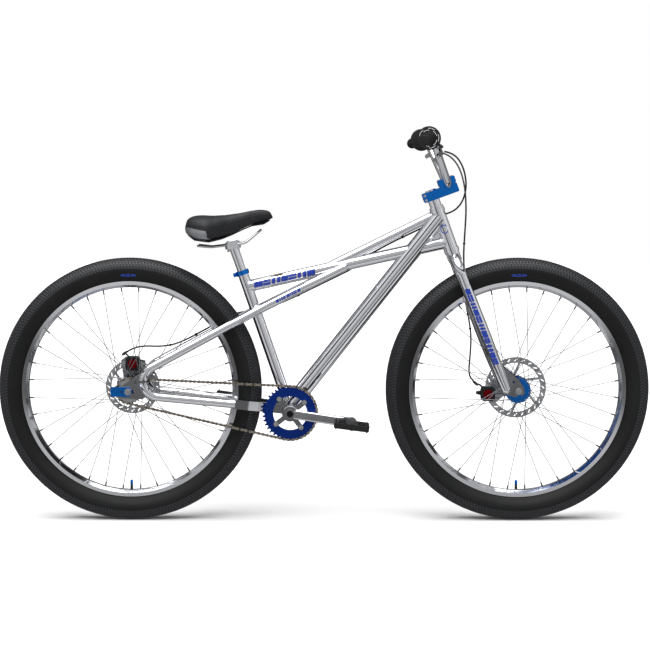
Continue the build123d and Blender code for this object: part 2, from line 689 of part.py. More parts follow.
# crank arms lean outward from the shell to the pedals
arm_inner, arm_outer, foot_inner, foot_outer = 59.5, 73.0, 78.0, 90.0
arms, pedal_axle_solids, crank_caps = [], [], []
for name, side in sides.items():
    reach = Vector(cos(radians(crank_angle)), 0, sin(radians(crank_angle))) * -side
    pedal_x, pedal_z = (shell + reach * crank_length).X, (shell + reach * crank_length).Z
    top_view = Plane(origin=shell, x_dir=reach, z_dir=reach.cross(Vector(0, 1, 0)))
    flip = 1 if top_view.y_dir.Y * side > 0 else -1
    with BuildPart() as crank_arm:
        with BuildSketch(top_view.offset(-14)) as web:
            with BuildLine():
                Polyline(
                    (0, flip * arm_inner), (0, flip * arm_outer), (crank_length * 0.8, flip * foot_outer),
                    (crank_length, flip * foot_outer), (crank_length, flip * foot_inner),
                    (crank_length * 0.82, flip * foot_inner), (25, flip * arm_inner), close=True,
                )
            make_face()
        extrude(web.sketch, amount=28)
        fillet(crank_arm.edges().filter_by(lambda e: e.length > 100), radius=5)
        disc(shell_x, shell_z, side * arm_inner, side * (arm_outer + 1), 21)
        disc(pedal_x, pedal_z, side * foot_inner, side * foot_outer, 16)
        if side < 0:
            for k in range(4):
                angle = radians(crank_angle + 45 + 90 * k)
                lug = shell + Vector(52 * cos(angle), 0, 52 * sin(angle))
                with BuildSketch(Plane(origin=(shell_x, ring_outer, shell_z), x_dir=(lug - shell),
                    z_dir=(0, -1, 0))) as arm:
                    with Locations((30, 0)):
                        SlotOverall(60, 14)
                    with Locations((52, 0)):
                        Circle(8)
                        Circle(4, mode=Mode.SUBTRACT)
                extrude(arm.sketch, amount=5)
            disc(shell_x, shell_z, ring_outer - 5, -arm_inner + 0.5, 24)
        disc(shell_x, shell_z, side * 40, side * spindle_end, spindle_radius, Mode.SUBTRACT)
        disc(pedal_x, pedal_z, side * 60, side * 95, 7, Mode.SUBTRACT)
    arms.append(crank_arm.part.solid())
    with BuildPart() as cap:
        disc(shell_x, shell_z, side * (arm_outer + 1), side * (arm_outer + 3.5), 14)
    crank_caps.append(cap.part.solid())
    with BuildPart() as pedal_axle:
        disc(pedal_x, pedal_z, side * (foot_inner - 1), side * foot_outer, 7)
        disc(pedal_x, pedal_z, side * foot_outer, side * (foot_outer + 3), 9)
        disc(pedal_x, pedal_z, side * (foot_outer + 3), side * (foot_outer + pedal_width - 6), 5)
    pedal_axle_solids.append(pedal_axle.part.solid())

    # platform pedal: a bearing tube, a flat open frame along it and pins on both faces
    pedal_in, pedal_out = side * (foot_outer + 3 + slack), side * (foot_outer + 3 + pedal_width)
    with BuildPart() as pedal:
        with BuildSketch(Plane(origin=(pedal_x, (pedal_in + pedal_out) / 2, pedal_z),
            x_dir=reach * -side, z_dir=reach.cross(Vector(0, 1,
            0)) * side).offset(-pedal_thickness / 2)) as plan:
            RectangleRounded(pedal_length, pedal_width - slack, 12)
            with Locations((pedal_length * 0.28, 0), (-pedal_length * 0.28, 0)):
                with GridLocations(0, 28, 1, 3):
                    RectangleRounded(24, 20, 4, mode=Mode.SUBTRACT)
        extrude(plan.sketch, amount=pedal_thickness)
        disc(pedal_x, pedal_z, pedal_in, pedal_out, 9.5)
        with BuildSketch(Plane(plan.workplanes[0].origin, plan.workplanes[0].x_dir,
            plan.workplanes[0].z_dir).offset(-3)) as pins:
            with GridLocations(pedal_length - 12, pedal_width / 3 - 3, 2, 4):
                Circle(1.8)
        extrude(pins.sketch, amount=pedal_thickness + 6)
        disc(pedal_x, pedal_z, pedal_in - side, side * (foot_outer + pedal_width - 5), 5 + running,
            Mode.SUBTRACT)
    pedal.part.label = f"pedal_{name}"
    export_step(pedal.part, f"parts/pedal_{name}.step")
for label, solids in (("crank_arms", arms + crank_caps), ("pedal_axles", pedal_axle_solids)):
    group = Compound(children=solids)
    group.label = label
    export_step(group, f"parts/{label}.step")

# ---- chain: a closed band round both toothed wheels, grooved inside for their teeth
with BuildPart() as chain:
    for grow, width, mode in ((4.3, 9.0, Mode.ADD), (-4.2, 9.2, Mode.SUBTRACT), (3.0, 4.4, Mode.SUBTRACT)):
        with BuildSketch(Plane.XZ.offset(chain_line - width / 2)) as loop:
            with Locations((shell_x, shell_z)):
                Circle(ring_pitch + grow)
            with Locations((rear_x, tire_radius)):
                Circle(sprocket_pitch + grow)
            make_hull()
        extrude(loop.sketch, amount=width, mode=mode)
chain.part.label = "chain"
export_step(chain.part, "parts/chain.step")


# ---- stem, handlebar and grips
stem_top = stem_low + stem_height
across_stem = Plane(origin=steer_foot, x_dir=steer_fore, z_dir=(0, -1, 0))
with BuildPart() as stem:
    with BuildSketch(across_stem.offset(-25)) as side_view:
        with Locations((25.5, stem_low + stem_height / 2)):
            RectangleRounded(107, stem_height, 4)
        with Locations((stem_reach, stem_top)):
            Circle(bar_radius, mode=Mode.SUBTRACT)
    extrude(side_view.sketch, amount=50)
    for side in sides.values():
        # the rear clamp is narrower than the bar clamp, with a shallow pocket in each cheek
        with BuildSketch(across_stem.offset(side * 21 + (0 if side > 0 else -9))) as cheek:
            with Locations((-16, stem_low + stem_height / 2)):
                Rectangle(36, stem_height + 2)
        extrude(cheek.sketch, amount=9, mode=Mode.SUBTRACT)
        with BuildSketch(across_stem.offset(side * 22.5 + (0 if side > 0 else -5))) as pocket:
            with Locations((17, stem_low + stem_height / 2)):
                RectangleRounded(28, 13, 5)
        extrude(pocket.sketch, amount=5, mode=Mode.SUBTRACT)
        for up in (7, 20.5):
            bar(on_fork(-21, side * 17, stem_low + up), on_fork(-21, side * 30, stem_low + up), 4,
                Mode.SUBTRACT)
        for fore in (stem_reach - 18.5, stem_reach + 18.5):
            bar(on_fork(fore, side * 18, stem_top - 18), on_fork(fore, side * 18, stem_top + 5), 2.6,
                Mode.SUBTRACT)
    bar(on_fork(0, 0, stem_low - 1), on_fork(0, 0, stem_top + 1), steerer_radius, Mode.SUBTRACT)
    # pinch slot behind the steerer
    with BuildSketch(Plane(origin=on_fork(-22, 0, stem_low - 1), x_dir=steer_fore, z_dir=steer_up)) as slot:
        Rectangle(20, 2.4)
    extrude(slot.sketch, amount=stem_height + 2, mode=Mode.SUBTRACT)
stem.part.label = "stem"
export_step(stem.part, "parts/stem.step")

with BuildPart() as stem_cap:
    with BuildSketch(across_stem.offset(-25)) as side_view:
        with Locations((stem_reach, stem_top + 11)):
            RectangleRounded(52, 20.8, 4)
        with Locations((stem_reach, stem_top)):
            Circle(bar_radius, mode=Mode.SUBTRACT)
    extrude(side_view.sketch, amount=50)
    for side in sides.values():
        for fore in (stem_reach - 18.5, stem_reach + 18.5):
            bar(on_fork(fore, side * 18, stem_top), on_fork(fore, side * 18, stem_top + 30), 2.6,
                Mode.SUBTRACT)
            bar(on_fork(fore, side * 18, stem_top + 17), on_fork(fore, side * 18, stem_top + 30), 4.3,
                Mode.SUBTRACT)
    # window through the middle of the cap
    with BuildSketch(Plane(origin=on_fork(stem_reach, 0, stem_top + 8), x_dir=steer_fore,
        z_dir=steer_up)) as window:
        RectangleRounded(15, 22, 4)
    extrude(window.sketch, amount=20, mode=Mode.SUBTRACT)
stem_cap.part.label = "stem_cap"
export_step(stem_cap.part, "parts/stem_cap.step")

with BuildPart() as stem_bolts:
    for side in sides.values():
        for fore in (stem_reach - 18.5, stem_reach + 18.5):
            bar(on_fork(fore, side * 18, stem_top - 17), on_fork(fore, side * 18, stem_top + 17.2), 2.5)
            bar(on_fork(fore, side * 18, stem_top + 17.2), on_fork(fore, side * 18, stem_top + 22.5), 4.2)
        for up in (7, 20.5):
            bar(on_fork(-21, side * 17, stem_low + up), on_fork(-21, side * 22, stem_low + up), 3.9)
stem_bolts.part.label = "stem_bolts"
export_step(stem_bolts.part, "parts/stem_bolts.step")

bar_foot, bar_corner, bar_sweep, brace_rise = 46.0, 178.0, 0.2, 80.0


def on_bar(side, rise, back=0.0):
    """A point of the handlebar, beside and above the stem's clamp."""
    return on_fork(stem_reach - rise * tan(radians(bar_lean)) - back, side, stem_top + rise)


def on_grip(side, out):
    """A point on the straight end of the bar, at a distance out from the middle plane."""
    return on_bar(side * out, bar_rise, (out - bar_corner) * bar_sweep)


with BuildPart() as handlebar:
    points = [
        on_grip(-1, bar_width / 2 - 4), on_bar(-bar_corner, bar_rise), on_bar(-bar_foot, 0),
        on_bar(bar_foot, 0), on_bar(bar_corner, bar_rise), on_grip(1, bar_width / 2 - 4),
    ]
    with BuildLine() as bends:
        FilletPolyline(*points, radius=[46, 42, 42, 46])
    for radius, mode in ((bar_radius, Mode.ADD), (bar_radius - 2, Mode.SUBTRACT)):
        with BuildSketch(Plane(origin=points[0], z_dir=points[1] - points[0])) as section:
            Circle(radius)
        sweep(section.sketch, path=bends.wires()[0], mode=mode)
    brace_side = bar_foot + (bar_corner - bar_foot) * brace_rise / bar_rise
    with BuildPart(mode=Mode.PRIVATE) as brace:
        bar(on_bar(-brace_side, brace_rise), on_bar(brace_side, brace_rise), 8)
        for side in sides.values():
            bar(on_bar(side * bar_foot, 0), on_bar(side * bar_corner, bar_rise), bar_radius - 1,
                Mode.SUBTRACT)
    add(brace.part.solids().sort_by(SortBy.VOLUME)[-1])
handlebar.part.label = "handlebar"
export_step(handlebar.part, "parts/handlebar.step")

with BuildPart() as grips:
    for side in sides.values():
        root, tip = on_grip(side, bar_width / 2 - grip_length), on_grip(side, bar_width / 2)
        bar(root, tip, grip_radius)
        bar(root, between(root, tip, 0.04), grip_flange_radius)
        bar(root, on_grip(side, bar_width / 2 - 4), bar_radius, Mode.SUBTRACT)
grips.part.label = "grips"
export_step(grips.part, "parts/grips.step")

# ---- brake levers: a clamp and a perch on the bar, and a two-finger blade on a pivot
lever_tilt, lever_out, pivot_drop = 68.0, 207.0, 30.0
lever_down = steer_fore * cos(radians(lever_tilt)) - steer_up * sin(radians(lever_tilt))
mounts, pivots = [], {}
for name, side in sides.items():
    root = on_grip(side, lever_out)
    outward = (on_grip(side, lever_out + 50) - root).normalized()
    down = (lever_down - outward * lever_down.dot(outward)).normalized()
    lever_plane = Plane(origin=root, x_dir=outward, z_dir=outward.cross(down))
    pivots[name] = (root + down * pivot_drop, lever_plane.z_dir)
    with BuildPart() as mount:
        bar(root - outward * 7, root + outward * 7, 16.5)
        with BuildSketch(lever_plane.offset(-6)) as perch:
            with BuildLine():
                Polyline((-7, 8), (7, 8), (10, 24), (8, 38), (-14, 40), (-34, 44), (-34, 36), (-16, 30),
                    (-8, 20), close=True)
            make_face()
            fillet(perch.vertices(), radius=2)
        extrude(perch.sketch, amount=12)
        bar(root - outward * 8, root + outward * 8, bar_radius, Mode.SUBTRACT)
        # fork of the perch, open for the blade
        with BuildSketch(lever_plane.offset(-3.4)) as mouth:
            with Locations((4, pivot_drop + 2)):
                Rectangle(32, 26)
        extrude(mouth.sketch, amount=6.8, mode=Mode.SUBTRACT)
    with BuildPart() as pin:
        pivot = root + down * pivot_drop
        bar(pivot - lever_plane.z_dir * 6.4, pivot + lever_plane.z_dir * 6.4, 2)
        bar(pivot - lever_plane.z_dir * 8, pivot - lever_plane.z_dir * 6, 3.6)
        bar(pivot + lever_plane.z_dir * 6, pivot + lever_plane.z_dir * 8, 3.6)
    with BuildPart(mode=Mode.PRIVATE) as drilled:
        add(mount.part)
        bar(pivot - lever_plane.z_dir * 9, pivot + lever_plane.z_dir * 9, 2, Mode.SUBTRACT)
    mounts += [*drilled.part.solids(), *pin.part.solids()]

    with BuildPart() as brake_lever:
        with BuildSketch(lever_plane.offset(-3)) as blade:
            with BuildLine():
                Spline((8, 26), (24, 42), (60, 50), (110, 51), (134, 57))
                Line((134, 57), (138, 65))
                Spline((138, 65), (112, 63), (60, 62), (22, 55), (-2, 38))
                Line((-2, 38), (8, 26))
            make_face()
            with Locations((0, pivot_drop)):
                Circle(6)
                Circle(2 + running, mode=Mode.SUBTRACT)
        extrude(blade.sketch, amount=6)
    brake_lever.part.label = f"brake_lever_{name}"
    export_step(brake_lever.part, f"parts/brake_lever_{name}.step")
group = Compound(children=mounts)
group.label = "lever_mounts"
export_step(group, "parts/lever_mounts.step")

# ---- disc brake callipers: a body round the rotor, two pads, a turning arm and its cable stop
front_stop = front_caliper_place + Vector(-31, 20, 25)
rear_stop = rear_caliper_place + Vector(-31, 25, 25)
for end, place, x, radius, mount_face, stop, arm_turn in (
    ("front", front_caliper_place, front_x, front_rotor_radius, front_spacing / 2, front_stop, 205),
    ("rear", rear_caliper_place, rear_x, rear_rotor_radius, dropout_inner, rear_stop, 200),
):
    with BuildPart() as body:
        with BuildSketch(Plane(origin=(place.X, place.Y - 12, place.Z), x_dir=(1, 0, 0),
            z_dir=(0, 1, 0))) as face:
            RectangleRounded(42, 42, 10)
        extrude(face.sketch, amount=mount_face - place.Y + 12)
        # slot that the rotor turns in
        with BuildSketch(Plane(origin=(x, place.Y - 3.4, tire_radius), z_dir=(0, 1, 0))) as gap:
            Circle(radius + 3)
        extrude(gap.sketch, amount=6.8, mode=Mode.SUBTRACT)
        disc(place.X, place.Z, place.Y + 8, mount_face + 1, 10.6, Mode.SUBTRACT)
    with BuildPart() as knob:
        disc(place.X, place.Z, place.Y - 14.5, place.Y - 12, 14)
    pads = []
    for inner, outer in ((-3.2, -1.5), (1.5, 3.2)):
        with BuildPart() as pad:
            disc(place.X, place.Z, place.Y + inner, place.Y + outer, 9)
        pads.append(pad.part.solid())
    group = Compound(children=[*body.part.solids(), knob.part.solid(), *pads])
    group.label = f"{end}_caliper"
    export_step(group, f"parts/{end}_caliper.step")

    arm_face = mount_face + (dropout_thickness if end == "rear" else 0)
    with BuildPart() as caliper_arm:
        disc(place.X, place.Z, place.Y + 8 + slack, arm_face + 5, 10)
        with BuildSketch(Plane(origin=(place.X, arm_face + slack, place.Z), x_dir=(-1, 0, 0),
            z_dir=(0, 1, 0))) as arm:
            with BuildLine():
                Polyline((-8, -8), (8, -9), (33, -4), (35, 4), (8, 10), (-6, 8), close=True)
            make_face()
            fillet(arm.vertices(), radius=3)
        extrude(arm.sketch, amount=4.4)
    caliper_arm.part.label = f"{end}_caliper_arm"
    export_step(caliper_arm.part, f"parts/{end}_caliper_arm.step")

# ---- cables: straight runs joined by the largest tangent arcs that their runs allow
cable_radius = 2.5


def cable(points):
    """The tube of a cable along a list of points, in the part being built."""
    points = [Vector(p) for p in points]
    radii = []
    for before, corner, after in zip(points, points[1:], points[2:]):
        turn = radians((corner - before).get_angle(after - corner))
        radii.append(0.45 * min((corner - before).length, (after - corner).length) / tan(turn / 2))
    with BuildLine() as route:
        FilletPolyline(*points, radius=radii)
    with BuildSketch(Plane(origin=points[0], z_dir=points[1] - points[0])) as section:
        Circle(cable_radius)
    sweep(section.sketch, path=route.wires()[0])
    print("smallest cable radius", round(min(radii), 1), "length", round(route.wires()[0].length))


rear_route = [
    (344, 29, 895), (318, 30, 877), (285, 20, 857), (250, 8, 841), (213, 3, 824),
    (160, 8, 796), (112, 23, 767), (84, 24, 738), (48, 22, 720.5), (-42, 30, 676),
    (-108, 31, 644), (-150, 42, 627.5), (-190, 52, 614), (-225, 61, 610), (-262, 64, 604.5),
    (-330, 65, 567.5), (-430, 71, 513), (-485, 74, 503), (-536, 71, 506), (-573, 66, 498),
    (rear_stop.X, rear_stop.Y, rear_stop.Z),
]
loop_route = [
    (341, -186, 1080), (368, -160, 1076), (398, -120, 1040), (412, -72, 985), (405, -30, 940),
    (388, 4, 914), (368, 23, 902), (346.5, 28.4, 895.8),
]
front_route = [
    (341, 186, 1080), (368, 162, 1077), (400, 120, 1043), (416, 76, 985), (419, 42, 915),
    (414, 26, 845), (411, 30, 790), (414, 64, 749), (420, 84, 716), (418, 89, 676),
    (421, 88, 636), (432, 76, 580), (438, 68, 533), (434, 62, 470), (430, 60, 430),
    (437, 58, 408), (front_stop.X, front_stop.Y, front_stop.Z),
]
for label, route in (
    ("rear_brake_cable", rear_route), ("rear_cable_loop", loop_route), ("front_brake_cable", front_route),
):
    with BuildPart() as cable_part:
        cable(route)
    cable_part.part.label = label
    export_step(cable_part.part, f"parts/{label}.step")

clip_half_length = 4.0
with BuildPart() as cable_clips:
    for index in (4, 10, 15, 16):
        before, corner = Vector(rear_route[index - 1]), Vector(rear_route[index])
        middle = between(before, corner, 0.5)
        along = (corner - before).normalized() * clip_half_length
        bar(middle - along, middle + along, cable_radius + 1.1)
        bar(middle - along, middle + along, cable_radius + 0.25, Mode.SUBTRACT)
cable_clips.part.label = "cable_clips"
export_step(cable_clips.part, "parts/cable_clips.step")

# ---- seat clamp, seatpost and saddle
with BuildPart() as seat_clamp:
    bar(on_seat(seat_tube_length - 14), on_seat(seat_tube_length - 0.5), seat_tube_radius + 4)
    back = Vector(-sin(radians(seat_angle)), 0, -cos(radians(seat_angle)))
    ear = on_seat(seat_tube_length - 7) + back * (seat_tube_radius + 6)
    with BuildSketch(Plane(origin=ear, x_dir=back, z_dir=seat_up).offset(-6)) as ears:
        Rectangle(12, 15)
    extrude(ears.sketch, amount=12)
    bar(ear - Vector(0, 11, 0), ear + Vector(0, 11, 0), 3)
    bar(on_seat(seat_tube_length - 30), on_seat(seat_tube_length + 3), seat_tube_radius, Mode.SUBTRACT)
seat_clamp.part.label = "seat_clamp"
export_step(seat_clamp.part, "parts/seat_clamp.step")

post_low, post_high = on_seat(262), on_seat(508)
saddle_pitch = 7.0
rail_spread, rail_radius = 22.0, 3.5
head_plane = Plane(origin=post_high + Vector(-3, 0, 10),
    x_dir=(cos(radians(saddle_pitch)), 0,
    sin(radians(saddle_pitch))), z_dir=(-sin(radians(saddle_pitch)), 0, cos(radians(saddle_pitch))))


def on_head(fore, side, up):
    """A point beside the middle of the saddle rails in the clamp."""
    return head_plane.origin + head_plane.x_dir * fore + Vector(0, side, 0) + head_plane.z_dir * up


with BuildPart() as seatpost:
    bar(post_low, post_high, seatpost_radius)
    bar(post_low - seat_up, post_high - seat_up * 12, seatpost_radius - 2.2, Mode.SUBTRACT)
    with BuildSketch(head_plane.offset(-12)) as cradle:
        RectangleRounded(44, 54, 8)
    extrude(cradle.sketch, amount=11.6)
    with BuildSketch(head_plane.offset(0.4)) as lid:
        RectangleRounded(40, 52, 8)
    extrude(lid.sketch, amount=7)
    for side in sides.values():
        bar(on_head(-30, side * rail_spread, 0), on_head(30, side * rail_spread, 0), rail_radius,
            Mode.SUBTRACT)
    for fore in (-13, 13):
        bar(on_head(fore, 0, -20), on_head(fore, 0, 11), 3)
        bar(on_head(fore, 0, -21), on_head(fore, 0, -12.5), 5)
seatpost.part.label = "seatpost"
export_step(seatpost.part, "parts/seatpost.step")

with BuildPart() as saddle_rails:
    for side in sides.values():
        points = [
            on_head(-101, side * 34, 9), on_head(-62, side * rail_spread, 0), on_head(38,
                side * rail_spread, 0),
            on_head(88, side * 8, 32),
        ]
        with BuildLine() as bends:
            FilletPolyline(*points, radius=[40, 30])
        with BuildSketch(Plane(origin=points[0], z_dir=points[1] - points[0])) as section:
            Circle(rail_radius)
        sweep(section.sketch, path=bends.wires()[0])
saddle_rails.part.label = "saddle_rails"
export_step(saddle_rails.part, "parts/saddle_rails.step")

saddle_tail = on_seat(508).X - 142
saddle_under = [(255, 888), (232, 875), (196, 868), (172, 858), (140, 843), (112, 832), (74, 823),
    (32, 828), (5, 846)]
saddle_over = [(0, 858), (8, 884), (34, 895), (90, 895), (150, 902), (190, 910.5), (222, 913.5), (247, 907)]


def saddle_outline(inset):
    """The saddle seen from above: a wide tail and a narrow nose."""
    half = saddle_width / 2 - inset
    Spline(
        (saddle_tail + inset, 0), (saddle_tail + 22, half * 0.78), (saddle_tail + 62, half),
        (saddle_tail + 128, half * 0.52), (saddle_tail + 200, half * 0.27),
        (saddle_tail + saddle_length - inset, 0), tangents=[(0, 1), (0, -1)],
    )
    Line((saddle_tail + saddle_length - inset, 0), (saddle_tail + inset, 0))


for label, low, inset in (("saddle", 0, 0), ("saddle_base", 4, 9)):
    with BuildPart() as seat_piece:
        with BuildSketch(Plane.XZ.offset(-saddle_width)) as profile:
            with BuildLine():
                lower = [(saddle_tail + x, z) for x, z in saddle_under]
                if low:
                    Polyline(*lower, *[(x, z - low) for x, z in reversed(lower)], close=True)
                else:
                    Spline((saddle_tail, 858), *[(saddle_tail + x, z) for x, z in saddle_over[1:]],
                        lower[0])
                    Polyline(*lower, (saddle_tail, 858))
            make_face()
        extrude(profile.sketch, amount=2 * saddle_width)
        with BuildSketch(Plane.XY.offset(700)) as plan:
            with BuildLine():
                saddle_outline(inset)
            make_face()
            mirror(about=Plane.XZ)
        extrude(plan.sketch, amount=300, mode=Mode.INTERSECT)
    seat_piece.part.label = label
    export_step(seat_piece.part, f"parts/{label}.step")
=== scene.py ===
"""Looks for the 29-inch cruiser BMX: materials, tyres, chain, saddle, grips, cables, marks and light."""

import json
from math import asin, atan2, cos, pi, radians, sin, sqrt

import bmesh
import bpy
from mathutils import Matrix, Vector

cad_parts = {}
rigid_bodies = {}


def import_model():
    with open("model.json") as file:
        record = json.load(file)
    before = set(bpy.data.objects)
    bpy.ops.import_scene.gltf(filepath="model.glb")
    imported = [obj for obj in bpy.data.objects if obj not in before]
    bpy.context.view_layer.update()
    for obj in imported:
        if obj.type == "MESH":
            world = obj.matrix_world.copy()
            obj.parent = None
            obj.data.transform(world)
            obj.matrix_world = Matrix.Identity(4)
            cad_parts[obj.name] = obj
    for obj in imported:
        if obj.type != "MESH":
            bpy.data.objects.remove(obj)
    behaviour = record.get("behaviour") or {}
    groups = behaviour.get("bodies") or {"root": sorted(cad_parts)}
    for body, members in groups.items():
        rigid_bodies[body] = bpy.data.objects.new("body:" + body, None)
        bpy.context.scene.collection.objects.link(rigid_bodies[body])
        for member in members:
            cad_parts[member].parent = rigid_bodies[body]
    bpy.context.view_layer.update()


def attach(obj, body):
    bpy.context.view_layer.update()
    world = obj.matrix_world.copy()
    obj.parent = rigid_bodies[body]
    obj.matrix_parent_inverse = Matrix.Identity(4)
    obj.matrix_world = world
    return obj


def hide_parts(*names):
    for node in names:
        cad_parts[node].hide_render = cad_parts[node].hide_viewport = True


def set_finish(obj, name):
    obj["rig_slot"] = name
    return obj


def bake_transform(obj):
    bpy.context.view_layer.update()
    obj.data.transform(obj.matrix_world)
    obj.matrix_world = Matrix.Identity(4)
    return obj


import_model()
scene = bpy.context.scene


def V(x, y, z):
    """A point from millimetres."""
    return Vector((x, y, z)) / 1000


# ---- camera
camera_data = bpy.data.cameras.new("camera")
camera_data.lens = 101.81
camera_data.sensor_width = 36
camera_data.clip_end = 60
camera = bpy.data.objects.new("camera", camera_data)
scene.collection.objects.link(camera)
camera.location = V(38.4, -5371.5, 1055.8)
camera.rotation_mode = "QUATERNION"
camera.rotation_quaternion = (V(3.8, 0, 574.4) - camera.location).to_track_quat("-Z", "Y")
scene.camera = camera

# ---- the bike's layout, in millimetres
REAR_X, FRONT_X, AXLE_Z = -568.0, 568.0, 386.0
SHELL = (-97.53, 321.0)
STEER_UP = Vector((-0.34202, 0, 0.93969))
STEER_FORE = Vector((0.93969, 0, 0.34202))
STEER_FOOT = Vector((527.59, 0, 371.29))
SEAT_UP = Vector((-0.32557, 0, 0.94552))


def on_fork(fore, side, up):
    """A point that far ahead of the steering axis, to the left, and up along it."""
    return STEER_FOOT + STEER_FORE * fore + STEER_UP * up + Vector((0, side, 0))


# ---- materials
def linear(colour):
    """sRGB hex to linear RGBA."""
    parts = [int(colour[i:i + 2], 16) / 255 for i in (1, 3, 5)]
    return [c / 12.92 if c <= 0.04045 else ((c + 0.055) / 1.055) ** 2.4 for c in parts] + [1.0]


class Look:
    """One procedural material, built up node by node."""

    def __init__(self, name, colour, metallic=0.0, roughness=0.5, **extra):
        self.material = bpy.data.materials.new(name)
        self.material.use_nodes = True
        self.tree = self.material.node_tree
        self.shader = self.tree.nodes["Principled BSDF"]
        self.set(self.shader, "Base Color", linear(colour))
        self.set(self.shader, "Metallic", metallic)
        self.set(self.shader, "Roughness", roughness)
        for socket, value in extra.items():
            self.set(self.shader, socket.replace("_", " "), value)
        self.place = self.add("ShaderNodeTexCoord").outputs["Object"]

    def set(self, node, socket, value):
        if isinstance(value, bpy.types.NodeSocket):
            self.tree.links.new(value, node.inputs[socket])
        else:
            node.inputs[socket].default_value = value

    def add(self, kind, settings=(), **sockets):
        """A node with its settings and inputs; a number suffix picks an input by place."""
        node = self.tree.nodes.new(kind)
        for key, value in dict(settings).items():
            setattr(node, key, value)
        for key, value in sockets.items():
            self.set(node, int(key[1:]) if key[1:].isdigit() else key.replace("_", " "), value)
        return node

    def math(self, operation, a, b=0.0, c=0.0):
        return self.add("ShaderNodeMath", {"operation": operation}, i0=a, i1=b, i2=c).outputs[0]

    def noise(self, scale, detail=3.0, roughness=0.55, vector=None):
        node = self.add("ShaderNodeTexNoise", Vector=vector or self.place, Scale=scale,
                        Detail=detail, Roughness=roughness)
        return node.outputs["Fac"]

    def spread(self, value, low, high, start, end):
        """value moved from low..high to start..end."""
        node = self.add("ShaderNodeMapRange", i0=value, i1=low, i2=high, i3=start, i4=end)
        return node.outputs[0]

    def mix(self, factor, first, second):
        node = self.add("ShaderNodeMix", {"data_type": "RGBA"}, i0=factor, i6=first, i7=second)
        return node.outputs[2]

    def bump(self, height, distance, strength=1.0):
        node = self.add("ShaderNodeBump", Height=height, Distance=distance, Strength=strength)
        if self.shader.inputs["Normal"].links:
            self.set(node, "Normal", self.shader.inputs["Normal"].links[0].from_socket)
        self.set(self.shader, "Normal", node.outputs[0])
        return self


def metal(name, colour, roughness, worn=0.05, grain=900, depth=0.00001, coat=0.0):
    """A metal with fine tooling grain and slight handling marks in its gloss."""
    look = Look(name, colour, 1.0, roughness, Coat_Weight=coat, Coat_Roughness=0.08)
    smudge = look.noise(26, 4)
    look.set(look.shader, "Roughness", look.spread(smudge, 0.3, 0.75, roughness, roughness + worn))
    return look.bump(look.noise(grain, 2), depth, 0.25)


def plastic(name, colour, roughness, grain=1400, depth=0.00004):
    """Moulded black plastic or rubber with a fine grain."""
    look = Look(name, colour, 0.0, roughness, Specular_IOR_Level=0.35)
    patch = look.noise(40, 3)
    look.set(look.shader, "Roughness", look.spread(patch, 0.3, 0.7, roughness - 0.05, roughness + 0.07))
    return look.bump(look.noise(grain, 2), depth, 0.5)


polished = metal("polished_aluminium_6061", "#e4e5e9", 0.055, 0.05, 700, 0.000006)
brushed = metal("ground_aluminium", "#c9cbcf", 0.30, 0.08, 1600, 0.00002)
blue_metal = metal("blue_anodised_aluminium", "#1f7fe2", 0.2, 0.06)
navy_metal = metal("blue_painted_ring", "#17378c", 0.45, 0.06, coat=0.15)
steel = metal("bright_steel", "#c8c9cb", 0.20, 0.10)
chain_metal = metal("oiled_chain_steel", "#b5aca0", 0.25, 0.12)
chain_inner = metal("dark_chain_steel", "#5b544b", 0.4, 0.12)
black_metal = metal("black_painted_metal", "#17181a", 0.38, 0.08)
black_metal.set(black_metal.shader, "Metallic", 0.0)
silver_trim = metal("silver_lacquered_trim", "#a4a6aa", 0.42, 0.06)
black_plastic = plastic("black_nylon", "#121315", 0.42)
black_rubber = plastic("black_kraton_rubber", "#141416", 0.60)
cover_fabric = plastic("black_synthetic_leather", "#15161a", 0.55, 900, 0.00012)
blue_print = plastic("blue_vinyl_print", "#10308e", 0.42)
tube_rubber = plastic("butyl_rubber", "#1b1c1e", 0.6)
cable_jacket = plastic("black_cable_jacket", "#101113", 0.35)

# polished tubes carry faint lengthwise polishing lines
stretched = polished.add("ShaderNodeMapping", Vector=polished.place, Scale=(60, 1400, 900)).outputs[0]
polished.bump(polished.noise(1.0, 2, vector=stretched), 0.000004, 0.3)


def from_axis(look, x, z):
    """A point's place, and its distance from an axis that crosses the bike at x, z millimetres."""
    at = look.add("ShaderNodeSeparateXYZ", Vector=look.place)
    dx = look.math("SUBTRACT", at.outputs[0], x / 1000)
    dz = look.math("SUBTRACT", at.outputs[2], z / 1000)
    squares = look.math("ADD", look.math("MULTIPLY", dx, dx), look.math("MULTIPLY", dz, dz))
    return at, look.math("SQRT", squares)


def paint_black(look, bare, painted):
    """Bare metal that is painted black where painted is 1."""
    look.set(look.shader, "Base Color", look.mix(painted, linear(bare), linear("#0c0c0d")))
    look.set(look.shader, "Metallic", look.math("SUBTRACT", 1.0, painted))


# ---- mesh helpers
def finish_piece(piece, look, body, slot, nodes=()):
    """Give a piece its finish and the body it rides on."""
    piece.data.materials.append(look.material)
    if body:
        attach(piece, body)
    if nodes:
        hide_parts(*nodes)
    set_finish(piece, slot)
    return piece


def mesh_piece(name, points, faces, smooth=True):
    """A mesh object from points in millimetres."""
    mesh = bpy.data.meshes.new(name)
    mesh.from_pydata([(x / 1000, y / 1000, z / 1000) for x, y, z in points], [], faces)
    mesh.update()
    work = bmesh.new()
    work.from_mesh(mesh)
    bmesh.ops.recalc_face_normals(work, faces=work.faces)
    work.to_mesh(mesh)
    work.free()
    if smooth:
        mesh.shade_smooth()
        mesh.set_sharp_from_angle(angle=radians(38))
    piece = bpy.data.objects.new(name, mesh)
    scene.collection.objects.link(piece)
    return piece


